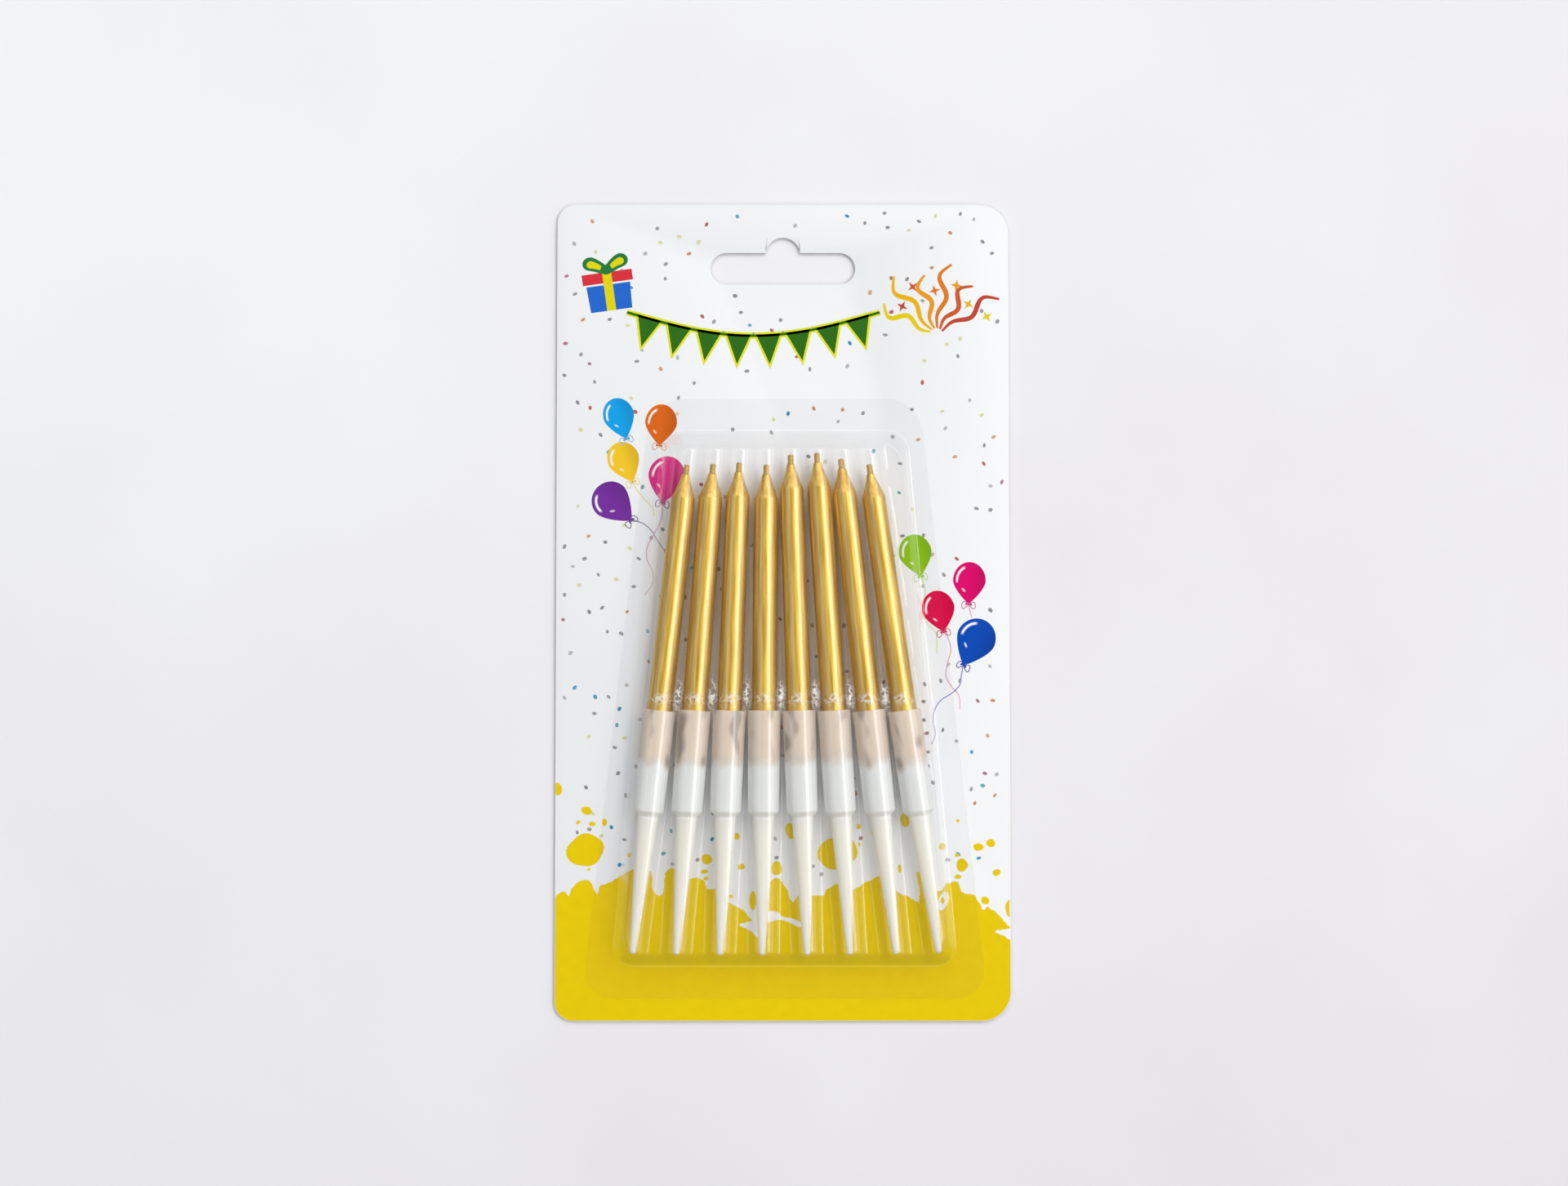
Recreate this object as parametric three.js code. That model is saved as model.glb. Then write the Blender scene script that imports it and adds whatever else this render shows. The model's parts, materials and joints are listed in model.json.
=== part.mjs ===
// A sealed hanging card with a fan of birthday candles. Each candle stands in the cup of its own spiked
// holder, and one clear thermoformed cover, fluted over every candle, holds them all against the card.
// Sizes are millimetres. The card lies flat with its printed face up (+Z) and its hanging slot towards +Y,
// and the origin is the middle of its back.
import * as THREE from "three";

// Candle and wick, measured along the candle from its base
const candleRadius = 2.85;
const candleTopRadius = 2.6;
const candleBarrel = 57.6;
const candleShoulder = 5.3;
const candleNeckRadius = 0.95;
const candleBaseChamfer = 0.3;
const wickRadius = 0.68;
const wickClearance = 0.1;
const wickShowing = 2.2;
// Powers that shape the shoulder: full above the barrel, and hollow where it runs into the neck
const shoulderFullness = 1.5;
const shoulderHollow = 2;

// Spiked holder, measured from its rim down
const candleClearance = 0.1;
const mouthFlare = 0.2;
const rimWall = 0.45;
const rimRound = 0.18;
const cupFootWall = 0.45;
const seatDepth = 11.5;
const seatLedge = 0.4;
const seatGap = 0.3;
const cupDepth = 20.5;
const cupLength = 21.8;
const shoulderLength = 2.4;
const beadHeight = 0.9;
const beadProud = 0.15;
const spikeRootRadius = 2.35;
const spikeTipRadius = 0.75;
const spikeLength = 29.1;

// Fan of candles on the card, each at a step of the same angle
const candleCount = 8;
const fanStep = THREE.MathUtils.degToRad(2.04);
const fanTurn = THREE.MathUtils.degToRad(0.88);
const fanShift = -0.25;
const rimGap = 0.4;
const restGap = 0.3;
// How far each candle has slid up from its seat, and how far each holder leans out of its place in the fan
const candleLift = [0.3, 0.3, 0.5, 0, 2.2, 2.7, 1.6, 0.6];
const holderLean = [0, 0, 0, -0.35, 0, -0.2, 0.35, 0].map(THREE.MathUtils.degToRad);

// Clear cover
const filmThickness = 0.3;
const candleHeadroom = 0.4;
const rimHeadroom = 0.2;
const candleDeckRise = 1;
const rimDeckRise = 1.3;
const rimLedgeGap = 0.7;
const ledgeLength = 3.8;
const rimDeckStep = 0.4;
const tipRoom = 7.7;
const spikeRoom = 2.4;
const sideRoomTop = 5.1;
const sideRoomFoot = 3;
const sideDraft = 0.27;
const topDraft = 0.59;
const footDraft = 0.4;
const pocketCornerRadius = 4.5;
const deckEdgeRadius = 0.8;
const valleyFlat = 0.4;

// Flange that seals the cover to the card
const sealTop = 7.2;
const sealFoot = 7.4;
const sealSideTop = 2.8;
const sealSideFoot = 8;
const sealCornerRadius = 7.2;
const sealShift = 0.45;

// Card and its hanging slot
const cardThickness = 0.5;
const cardSideMargin = 4.7;
const cardFootMargin = 4.8;
const cardHeader = 43.3;
const cardCornerLeft = 4.1;
const cardCornerRight = 6.5;
const slotWidth = 32;
const slotHeight = 7;
const slotFromTop = 14.3;
const humpRadius = 3.9;
const humpRise = 3.4;
const humpFillet = 1;

// Facets
const roundSides = 20;
const wickSides = 8;
const tipFacetTurn = THREE.MathUtils.degToRad(50);
const slotSegments = 5;
const cornerSteps = 6;
const shoulderSteps = 4;
const fluteSteps = 6;
const flangeCornerSteps = 3;
const runSteps = 3;

// Sizes that follow from the ones above
const boreRadius = candleRadius + candleClearance;
const mouthRadius = boreRadius + mouthFlare;
const rimRadius = mouthRadius + rimWall;
const cupFootRadius = boreRadius + cupFootWall;
const seatRadius = boreRadius - seatLedge;
const spikeRootDepth = cupLength + shoulderLength;
const holderLength = spikeRootDepth + spikeLength;
const waxLength = candleBarrel + candleShoulder;
const candleReach = waxLength + wickShowing - seatDepth + seatGap;
const wickBoreRadius = wickRadius + wickClearance;

const pocketHeight = spikeRoom + holderLength + candleReach + tipRoom;
const cardHeight = cardFootMargin + sealFoot + pocketHeight + sealTop + cardHeader;
const pocketFoot = -cardHeight / 2 + cardFootMargin + sealFoot;
const rimLine = pocketFoot + spikeRoom + holderLength;
const pocketTop = pocketFoot + pocketHeight;
const rimPitch = 2 * rimRadius + rimGap;
const fanRadius = rimPitch / Math.tan(fanStep);
const fanCentre = new THREE.Vector2(fanShift - fanRadius * Math.tan(fanTurn), rimLine + fanRadius);
const axisRise = restGap + rimRadius;
const axisHeight = cardThickness + axisRise;

const pocketHalfTop = fanHalfWidth(pocketTop) + candleRadius + sideRoomTop;
const pocketHalfFoot = fanHalfWidth(pocketFoot) + spikeTipRadius + sideRoomFoot;
const sealHalfTop = pocketHalfTop + sealSideTop;
const sealHalfFoot = pocketHalfFoot + sealSideFoot;
const coverTop = pocketTop + sealTop;
const coverFoot = pocketFoot - sealFoot;
const cardWidth = 2 * (sealHalfFoot + cardSideMargin);

// Half the width across the outer candles' axes on the line y
function fanHalfWidth(y) {
  return ((candleCount - 1) / 2) * Math.tan(fanStep) * (fanCentre.y - y);
}

// Turn of one candle in the fan: positive leans its tip towards -X
function fanAngle(place) {
  return fanTurn + (place - (candleCount - 1) / 2) * fanStep;
}

// Group whose +Y runs up one candle's axis from the middle of its holder's rim
function fanPlace(place, lean) {
  const angle = fanAngle(place);
  const group = new THREE.Group();
  group.position.set(fanCentre.x + Math.tan(angle) * (fanCentre.y - rimLine), rimLine, axisHeight);
  group.rotation.z = angle + lean;
  group.updateMatrixWorld();
  return group;
}

// Solid turned about +Y from [radius, height] pairs that start and end on the axis
function turned(profile, sides) {
  return new THREE.LatheGeometry(profile.map(([radius, height]) => new THREE.Vector2(radius, height)), sides);
}

// Counter-clockwise outline through convex corners, each rounded by its own radius
function roundedOutline(corners, radii) {
  const points = [];
  corners.forEach((corner, i) => {
    const before = corners.at(i - 1).clone().sub(corner).normalize();
    const after = corners.at((i + 1) % corners.length).clone().sub(corner).normalize();
    const halfAngle = Math.acos(before.dot(after)) / 2;
    const middle = before.clone().add(after).normalize();
    const centre = corner.clone().addScaledVector(middle, radii[i] / Math.sin(halfAngle));
    const first = before.multiplyScalar(radii[i] / Math.tan(halfAngle)).add(corner).sub(centre);
    const sweep = Math.PI - 2 * halfAngle;
    for (let step = 0; step <= cornerSteps; step++) {
      const turn = (sweep * step) / cornerSteps;
      points.push(first.clone().rotateAround(new THREE.Vector2(), turn).add(centre));
    }
  });
  return points;
}

function cardGeometry() {
  const x = cardWidth / 2;
  const y = cardHeight / 2;
  const corners = [[x, y], [-x, y], [-x, -y], [x, -y]].map((corner) => new THREE.Vector2(...corner));
  const radii = [cardCornerRight, cardCornerLeft, cardCornerLeft, cardCornerRight];
  const shape = new THREE.Shape(roundedOutline(corners, radii));
  shape.holes.push(hangingSlot(y - slotFromTop));
  const depth = cardThickness;
  return new THREE.ExtrudeGeometry(shape, { depth, bevelEnabled: false, curveSegments: slotSegments });
}

// Round-ended hanging slot with a filleted hump in the middle of its upper side
function hangingSlot(y) {
  const end = slotHeight / 2;
  const reach = slotWidth / 2 - end;
  const humpY = end + humpRise - humpRadius;
  const filletY = end + humpFillet;
  const filletX = Math.sqrt((humpRadius + humpFillet) ** 2 - (filletY - humpY) ** 2);
  const lean = Math.atan2(filletY - humpY, filletX);
  const path = new THREE.Path();
  path.absarc(-reach, y, end, Math.PI / 2, (3 * Math.PI) / 2);
  path.absarc(reach, y, end, -Math.PI / 2, Math.PI / 2);
  path.absarc(filletX, y + filletY, humpFillet, -Math.PI / 2, lean - Math.PI, true);
  path.absarc(0, y + humpY, humpRadius, lean, Math.PI - lean);
  path.absarc(-filletX, y + filletY, humpFillet, -lean, -Math.PI / 2, true);
  return path;
}

// How much a rounded corner takes off each half width at a distance in from the end
function cornerCut(radius, distance) {
  const inside = Math.max(radius - distance, 0);
  return radius - Math.sqrt(Math.max(radius ** 2 - inside ** 2, 0));
}

// Share of the way down the ledge in front of the holder rims: 0 over the candles, 1 over the holders
function ledgeShare(y) {
  return THREE.MathUtils.clamp((rimLine + rimLedgeGap + ledgeLength - y) / ledgeLength, 0, 1);
}

// Half widths on the line y: the pocket's foot, the flange, and how far rounded corners draw them in
function coverWidths(y) {
  const share = (pocketTop - y) / (pocketTop - pocketFoot);
  const pocket = THREE.MathUtils.lerp(pocketHalfTop, pocketHalfFoot, share) + rimDeckStep * ledgeShare(y);
  const seal = THREE.MathUtils.lerp(sealHalfTop, sealHalfFoot, (coverTop - y) / (coverTop - coverFoot));
  const pocketCut = cornerCut(pocketCornerRadius, Math.max(Math.min(pocketTop - y, y - pocketFoot), 0));
  const sealCut = cornerCut(sealCornerRadius, Math.min(coverTop - y, y - coverFoot));
  return { pocket, seal, pocketScale: 1 - pocketCut / pocket, sealScale: 1 - sealCut / seal };
}

// Lines across the cover from its top to its foot. Each has a limit, the most that the film may rise above
// the card there, so the end walls slope. The inner face of the film, with wall set, lies inside the outer.
function coverLines(wall) {
  const lines = [];
  const addEnd = (edge, base, inwards, draft, crest) => {
    const halfWay = (crest + filmThickness) / 2;
    for (let step = 0; step < flangeCornerSteps; step++) {
      const turn = (step * Math.PI) / (2 * flangeCornerSteps);
      lines.push({ y: edge + inwards * sealCornerRadius * (1 - Math.cos(turn)), limit: filmThickness });
    }
    for (const limit of [filmThickness, halfWay, crest - deckEdgeRadius, crest]) {
      const inset = draft * (limit - filmThickness) + wall * drawIn(draft);
      lines.push({ y: base + inwards * inset, limit });
    }
  };
  addEnd(coverTop, pocketTop, -1, topDraft, axisRise + fluteRadius(0, 0));
  addEnd(coverFoot, pocketFoot, 1, footDraft, axisRise + fluteRadius(1, 0));
  const ledgeTop = rimLine + rimLedgeGap + ledgeLength;
  const bends = [ledgeTop, ledgeTop - ledgeLength / 2, ledgeTop - ledgeLength];
  for (let step = 1; step < runSteps; step++) {
    bends.push(THREE.MathUtils.lerp(pocketTop, ledgeTop, step / runSteps));
    bends.push(THREE.MathUtils.lerp(ledgeTop - ledgeLength, pocketFoot, step / runSteps));
  }
  lines.push(...bends.map((y) => ({ y, limit: Infinity })));
  return lines.sort((a, b) => b.y - a.y);
}

// Share of the film's thickness by which the inner face of a drafted wall lies inside the outer one
function drawIn(draft) {
  return Math.hypot(1, draft) - draft;
}

function fluteRadius(share, wall) {
  const candle = candleRadius + candleHeadroom;
  const rim = rimRadius + rimHeadroom;
  return THREE.MathUtils.lerp(candle, rim, share) + filmThickness - wall;
}

// Points across the film on one line, from -X to +X: flange, side wall, flutes, side wall, flange
function coverLane({ y, limit }, wall) {
  const widths = coverWidths(y);
  const share = ledgeShare(y);
  const radius = fluteRadius(share, wall);
  const deck = axisRise + filmThickness + THREE.MathUtils.lerp(candleDeckRise, rimDeckRise, share);
  const centres = fluteCentres(y);
  const foot = widths.pocket - wall * drawIn(sideDraft);
  const underWall = (x, rise) => Math.min(rise, filmThickness - wall + (foot - Math.abs(x)) / sideDraft);
  const overFlute = (x, centre) => underWall(x, fluteTopAt(x - centre, radius));
  const onSide = (x, rise, centre) => [x, Math.max(rise - wall, overFlute(x, centre))];
  const side = sideWall(foot, deck);
  const edge = side.at(-1)[0];
  const points = side.map(([x, rise]) => onSide(-x, rise, centres[0]));
  centres.forEach((centre, place) => {
    const roomLeft = place === 0 ? centre + edge : (centre - centres[place - 1]) / 2;
    const roomRight = place === candleCount - 1 ? edge - centre : (centres[place + 1] - centre) / 2;
    const from = Math.PI - flank(roomLeft, radius, deck - wall);
    const to = flank(roomRight, radius, deck - wall);
    for (let step = 0; step <= fluteSteps; step++) {
      const turn = THREE.MathUtils.lerp(from, to, step / fluteSteps);
      const x = centre + radius * Math.cos(turn);
      points.push([x, underWall(x, axisRise + radius * Math.sin(turn))]);
    }
  });
  points.push(...side.reverse().map(([x, rise]) => onSide(x, rise, centres.at(-1))));
  const inner = points.map(([x, rise]) => [x * widths.pocketScale, Math.min(rise, limit - wall)]);
  const flange = filmThickness - wall;
  const lane = [[-widths.seal, flange], ...inner, [widths.seal, flange]];
  return lane.map(([x, rise]) => new THREE.Vector3(x * widths.sealScale, y, cardThickness + rise));
}

// Middles of the flutes on the line y, each over its own candle
function fluteCentres(y) {
  const centres = [];
  for (let place = 0; place < candleCount; place++) {
    centres.push(fanCentre.x - sealShift + Math.tan(fanAngle(place)) * (fanCentre.y - y));
  }
  return centres;
}

// Outer face of a side wall as [distance out, rise] pairs: up from the flange and round on to the deck
function sideWall(foot, deck) {
  const crown = foot - sideDraft * (deck - deckEdgeRadius - filmThickness);
  const bend = deckEdgeRadius * (1 - Math.SQRT1_2);
  return [
    [foot, filmThickness],
    [crown, deck - deckEdgeRadius],
    [crown - bend, deck - bend],
    [crown - deckEdgeRadius, deck],
  ];
}

// Height of a flute's film above the card at a distance across from the candle's axis
function fluteTopAt(across, radius) {
  return Math.abs(across) < radius ? axisRise + Math.sqrt(radius ** 2 - across ** 2) : 0;
}

// Angle above level at which a flute's arc ends: at the deck, or at the valley between two close flutes
function flank(room, radius, deck) {
  const atDeck = Math.asin(THREE.MathUtils.clamp((deck - axisRise) / radius, 0, 1));
  const atValley = Math.acos(THREE.MathUtils.clamp((room - valleyFlat / 2) / radius, 0, 1));
  return Math.max(atDeck, atValley);
}

// Thin closed shell between the film's outer and inner faces, which share one layout of lines and points
function coverGeometry() {
  const outer = coverLines(0).map((line) => coverLane(line, 0));
  const inner = coverLines(filmThickness).map((line) => coverLane(line, filmThickness));
  const rows = outer.length;
  const columns = outer[0].length;
  const positions = [...outer, ...inner].flat().flatMap((point) => point.toArray());
  const below = rows * columns;
  const index = [];
  const addQuad = (a, b, c, d) => index.push(a, b, c, a, c, d);
  for (let row = 0; row + 1 < rows; row++) {
    for (let column = 0; column + 1 < columns; column++) {
      const at = row * columns + column;
      addQuad(at, at + columns, at + columns + 1, at + 1);
      addQuad(below + at, below + at + 1, below + at + columns + 1, below + at + columns);
    }
  }
  const rim = [];
  for (let row = 0; row + 1 < rows; row++) rim.push(row * columns);
  for (let column = 0; column + 1 < columns; column++) rim.push((rows - 1) * columns + column);
  for (let row = rows - 1; row > 0; row--) rim.push(row * columns + columns - 1);
  for (let column = columns - 1; column > 0; column--) rim.push(column);
  rim.forEach((at, i) => {
    const next = rim[(i + 1) % rim.length];
    addQuad(below + at, below + next, next, at);
  });
  const geometry = new THREE.BufferGeometry();
  geometry.setAttribute("position", new THREE.BufferAttribute(new Float32Array(positions), 3));
  geometry.setIndex(index);
  geometry.computeVertexNormals();
  return geometry;
}

// Spiked holder, its rim at 0 and its spike's round tip at -holderLength
function holderGeometry() {
  const root = -spikeRootDepth;
  const tip = -holderLength;
  return turned([
    [0, tip],
    [spikeTipRadius * Math.sin(tipFacetTurn), tip + spikeTipRadius * (1 - Math.cos(tipFacetTurn))],
    [spikeTipRadius, tip + spikeTipRadius],
    [spikeRootRadius, root],
    [spikeRootRadius + beadProud, root + beadHeight / 4],
    [spikeRootRadius + beadProud, root + (beadHeight * 3) / 4],
    [spikeRootRadius, root + beadHeight],
    [(spikeRootRadius + cupFootRadius) / 2, (root + beadHeight - cupLength) / 2],
    [cupFootRadius, -cupLength],
    [rimRadius, -rimRound],
    [rimRadius - rimRound, 0],
    [mouthRadius, 0],
    [boreRadius, -seatDepth],
    [seatRadius, -seatDepth],
    [seatRadius - seatLedge / 2, -cupDepth],
    [0, -cupDepth],
  ], roundSides);
}

// Wax body with its base at 0, slightly tapered, drawn in by its shoulder to a narrow neck and bored right
// through for the wick
function candleGeometry() {
  const shoulder = [];
  for (let step = 0; step <= shoulderSteps; step++) {
    const share = step / shoulderSteps;
    const left = (1 - share ** shoulderFullness) ** shoulderHollow;
    const radius = THREE.MathUtils.lerp(candleNeckRadius, candleTopRadius, left);
    shoulder.push([radius, candleBarrel + candleShoulder * share]);
  }
  return new THREE.LatheGeometry([
    [wickBoreRadius, 0],
    [candleRadius - candleBaseChamfer, 0],
    [candleRadius, candleBaseChamfer],
    ...shoulder,
    [wickBoreRadius, waxLength],
    [wickBoreRadius, 0],
  ].map(([radius, height]) => new THREE.Vector2(radius, height)), roundSides);
}

function wickGeometry() {
  const end = waxLength + wickShowing;
  return turned([
    [0, 0],
    [wickRadius, 0],
    [wickRadius, end - wickRadius / 2],
    [wickRadius / 2, end],
    [0, end],
  ], wickSides);
}

function addMesh(parent, name, geometry, material) {
  const mesh = new THREE.Mesh(geometry, new THREE.MeshStandardMaterial(material));
  mesh.name = name;
  parent.add(mesh);
  return mesh;
}

const pack = new THREE.Group();
addMesh(pack, "backing_card", cardGeometry(), { color: 0xebebea, roughness: 0.3 });
const clearFilm = { color: 0xf4f7f8, roughness: 0.08, transparent: true, opacity: 0.18 };
addMesh(pack, "blister_cover", coverGeometry(), clearFilm).position.x = sealShift;

const holderShape = holderGeometry();
const candleShape = candleGeometry();
const wickShape = wickGeometry();
for (let place = 0; place < candleCount; place++) {
  const number = place + 1;
  const spot = fanPlace(place, holderLean[place] ?? 0);
  addMesh(spot, `holder_${number}`, holderShape, { color: 0xeceae6, roughness: 0.4 });
  const seated = new THREE.Group();
  seated.position.y = -seatDepth + seatGap + (candleLift[place] ?? 0);
  addMesh(seated, `candle_${number}`, candleShape, { color: 0xc9a13b, roughness: 0.3, metalness: 0.9 });
  addMesh(seated, `wick_${number}`, wickShape, { color: 0xcaa65a, roughness: 0.7 });
  spot.add(seated);
  pack.add(spot);
}

export default pack;
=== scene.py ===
"""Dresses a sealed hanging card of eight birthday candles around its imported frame.

The card lies flat with its printed face up and its hanging slot towards +Y. The driving sizes below are
millimetres, and everything in the scene is metres.
"""
import json
import math
import random

import bpy
from mathutils import Matrix, Vector


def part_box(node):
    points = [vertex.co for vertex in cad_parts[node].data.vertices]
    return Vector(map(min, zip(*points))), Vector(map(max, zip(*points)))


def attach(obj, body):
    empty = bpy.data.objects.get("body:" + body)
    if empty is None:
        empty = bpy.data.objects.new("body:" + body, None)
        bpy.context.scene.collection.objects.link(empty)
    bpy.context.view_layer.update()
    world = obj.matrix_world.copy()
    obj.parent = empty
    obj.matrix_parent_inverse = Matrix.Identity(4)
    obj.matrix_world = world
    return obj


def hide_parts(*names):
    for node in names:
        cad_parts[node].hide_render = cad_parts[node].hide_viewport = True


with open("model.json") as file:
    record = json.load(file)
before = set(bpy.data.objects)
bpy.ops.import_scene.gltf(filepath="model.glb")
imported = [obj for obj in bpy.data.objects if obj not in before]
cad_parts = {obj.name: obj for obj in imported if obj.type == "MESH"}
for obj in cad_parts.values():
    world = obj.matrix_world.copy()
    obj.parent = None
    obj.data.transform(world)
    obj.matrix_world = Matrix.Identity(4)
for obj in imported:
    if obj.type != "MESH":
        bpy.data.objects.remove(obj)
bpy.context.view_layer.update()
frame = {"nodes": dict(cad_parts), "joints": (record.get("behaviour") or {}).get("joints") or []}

bl_info = {
    "name": "Birthday candle pack",
    "version": (1, 0, 0),
    "blender": (4, 5, 0),
    "location": "3D View > Sidebar > Candle pack",
    "description": "Builds the looks of a carded pack of birthday candles on its packed frame",
    "category": "Object",
}

MM = 0.001
COUNT = sum(joint["type"] == "slide" for joint in frame["joints"])
SEED = 7
# The photograph's frame, the point in it over the card's middle, and the width of a pixel on the card in mm
PHOTO_WIDTH, PHOTO_HEIGHT = 1920, 1452
MIDDLE_X, MIDDLE_Y = 958.5, 747
PIXEL = 0.18
# Millimetres across a pattern from one copy of a piece to the next
PATTERN_STEP = 40


# Measuring the frame

def end_middle(name, axis, sign):
    """Middle of the points of a CAD node that lie furthest along an axis, or furthest back for sign -1."""
    points = {tuple(round(c, 7) for c in v.co) for v in frame["nodes"][name].data.vertices}
    reach = {point: sign * Vector(point).dot(axis) for point in points}
    limit = max(reach.values()) - 0.003 * MM
    furthest = [Vector(point) for point in points if reach[point] > limit]
    return sum(furthest, Vector()) / len(furthest)


def standing_at(foot, axis):
    """Matrix that stands a piece modelled up +Z from the origin on a point, along an axis."""
    return Matrix.Translation(foot) @ axis.to_track_quat("Z", "Y").to_matrix().to_4x4()


def candle_axis(number):
    """Direction in which a candle slides, up out of its holder."""
    joint = next(j for j in frame["joints"] if j["child"] == f"candle_{number}")
    return Vector(joint["axis"]).normalized()


CARD_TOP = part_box("backing_card")[1].z
CARD_LOW, CARD_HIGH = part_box("backing_card")
FILM_LOW, FILM_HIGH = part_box("blister_cover")
RIM_LINE = end_middle("holder_4", candle_axis(4), 1).y / MM


# Values that a user may change

def linear(hex_colour):
    """Linear RGBA of an sRGB hex colour."""
    channels = [int(hex_colour[i:i + 2], 16) / 255 for i in (1, 3, 5)]
    return tuple(c / 12.92 if c <= 0.04045 else ((c + 0.055) / 1.055) ** 2.4 for c in channels) + (1.0,)


def amount(name, description, value, **settings):
    """Property for a number that isn't negative."""
    return bpy.props.FloatProperty(name=name, description=description, default=value, min=0.0, **settings)


def length(name, description, millimetres):
    """Property for a length, kept in metres."""
    return amount(name, description, millimetres * MM, precision=5, unit="LENGTH")


def power(name, description, watts):
    """Property for a lamp's power."""
    return amount(name, description, watts, unit="POWER")


def colour(name, description, hex_colour):
    """Property for a colour, kept linear."""
    return bpy.props.FloatVectorProperty(
        name=name, description=description, default=linear(hex_colour)[:3], size=3, min=0.0, max=1.0,
        subtype="COLOR")


class CandleSettings(bpy.types.PropertyGroup):
    """Sizes and coat of one candle, measured up from its base."""
    radius: length("Radius", "Half the thickness of the barrel at its base", 2.85)
    top_radius: length("Top radius", "Half the thickness of the barrel at its top", 2.6)
    barrel: length("Barrel", "Height of the slightly tapered barrel", 57.6)
    shoulder: length("Shoulder", "Height of the flare above the barrel", 5.3)
    neck: length("Neck radius", "Radius of the wax where the wick leaves it", 0.95)
    bore: length("Wick bore radius", "Radius of the bore that holds the wick", 0.78)
    chamfer: length("Base chamfer", "Chamfer round the base", 0.3)
    wick_radius: length("Wick radius", "Half the thickness of the twisted wick", 0.68)
    wick_showing: length("Wick showing", "Length of wick above the wax", 2.2)
    gold: colour("Gold", "Colour of the metallic coat", "#F3D05A")


class HolderSettings(bpy.types.PropertyGroup):
    """Sizes and plastic of one spiked holder, measured down from its rim."""
    rim: length("Rim radius", "Outer radius at the rim", 3.6)
    mouth: length("Mouth radius", "Inner radius at the rim", 3.15)
    bore: length("Bore radius", "Inner radius at the seat", 2.95)
    foot: length("Cup foot radius", "Outer radius at the foot of the cup", 3.4)
    seat: length("Seat depth", "Depth of the ledge that the candle stands on", 11.5)
    ledge: length("Seat ledge", "Width of that ledge", 0.4)
    inside: length("Cup depth", "Depth of the cup's floor", 20.5)
    cup: length("Cup length", "Length of the cup outside", 21.8)
    shoulder: length("Shoulder", "Height of the curve between cup and spike", 2.4)
    bead: length("Bead", "Height of the bead at the foot of the shoulder", 0.9)
    bead_proud: length("Bead proud", "How far the bead stands out", 0.06)
    spike_root: length("Spike root radius", "Radius of the spike at its root", 2.35)
    spike_tip: length("Spike tip radius", "Radius of the spike's round tip", 0.75)
    spike: length("Spike length", "Length of the spike below its root", 29.1)
    plastic: colour("Plastic", "Colour of the milky plastic", "#E6E7E4")


class FilmSettings(bpy.types.PropertyGroup):
    """Sizes of the thermoformed cover, whose flutes are a little narrower than its solid's."""
    thickness: length("Thickness", "Thickness of the film", 0.26)
    candle_radius: length("Flute over candle", "Outer radius of a flute over a candle", 3.55)
    rim_radius: length("Flute over holder", "Outer radius of a flute over a holder", 4.1)
    spike_radius: length("Flute over spike", "Outer radius of a flute at its foot, over a spike", 3.7)
    spike_deck: length("Deck over spikes", "Height of the deck between the flutes' feet, above the card", 5.9)
    axis_rise: length("Axis rise", "Height of the candles' axes above the card", 3.9)
    candle_deck: length("Deck over candles", "Height of the deck between flutes, above the card", 5.2)
    rim_deck: length("Deck over holders", "Height of the deck beside the holders, above the card", 5.5)
    tint: colour("Tint", "Colour of light through one face of the film", "#FEFEFE")


class CardSettings(bpy.types.PropertyGroup):
    """Sizes and colours of the backing card."""
    corner_left: length("Left corners", "Radius of the two left corners", 4.1)
    corner_right: length("Right corners", "Radius of the two right corners", 6.5)
    slot_width: length("Slot width", "Width of the hanging slot", 32.0)
    slot_height: length("Slot height", "Height of the slot's straight part", 7.0)
    slot_from_top: length("Slot from top", "Middle of the slot below the card's top edge", 14.3)
    hump_radius: length("Hump radius", "Radius of the hump in the slot's upper side", 3.9)
    hump_rise: length("Hump rise", "Height of the hump above the slot", 3.4)
    hump_fillet: length("Hump fillet", "Radius where the hump meets the slot", 1.0)
    face: colour("Print side", "Colour of the coated print side", "#EEEFF1")
    back: colour("Back", "Colour of the uncoated back and the cut edge", "#DEDBD3")


class PrintSettings(bpy.types.PropertyGroup):
    """Colours and amounts of the print."""
    splash: colour("Paint splash", "Colour of the band of paint at the foot", "#E8C900")
    confetti: bpy.props.IntProperty(
        name="Confetti", description="Number of confetti dots", default=330, min=0, max=2000)


class StageSettings(bpy.types.PropertyGroup):
    """Floor, lamps and camera."""
    floor: colour("Floor", "Colour of the pale floor", "#F1F2F4")
    world: amount("World light", "Strength of the light all round", 0.47)
    overhead: amount("Overhead light", "Strength of that light straight above, round the camera", 0.1)
    key: power("Key light", "Power of the narrow soft lamp on the right", 11.0)
    side: power("Side light", "Power of the wide soft lamp on the right", 10.5)
    fill: power("Fill light", "Power of the soft lamp on the left", 6.0)
    ends: power("End lights", "Power of each soft lamp beyond the card's ends", 7.0)
    distance: length("Camera distance", "Distance from the camera to the card", 601.0)


class PackSettings(bpy.types.PropertyGroup):
    """All settings of the candle pack."""
    candle: bpy.props.PointerProperty(type=CandleSettings, name="Candle", description="One candle")
    holder: bpy.props.PointerProperty(type=HolderSettings, name="Holder", description="One spiked holder")
    film: bpy.props.PointerProperty(type=FilmSettings, name="Film", description="Thermoformed cover")
    card: bpy.props.PointerProperty(type=CardSettings, name="Card", description="Backing card")
    artwork: bpy.props.PointerProperty(type=PrintSettings, name="Print", description="Print on the card")
    stage: bpy.props.PointerProperty(type=StageSettings, name="Stage", description="Floor, lamps and camera")


# Modelling

def mix(a, b, share):
    return a + (b - a) * share


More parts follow.
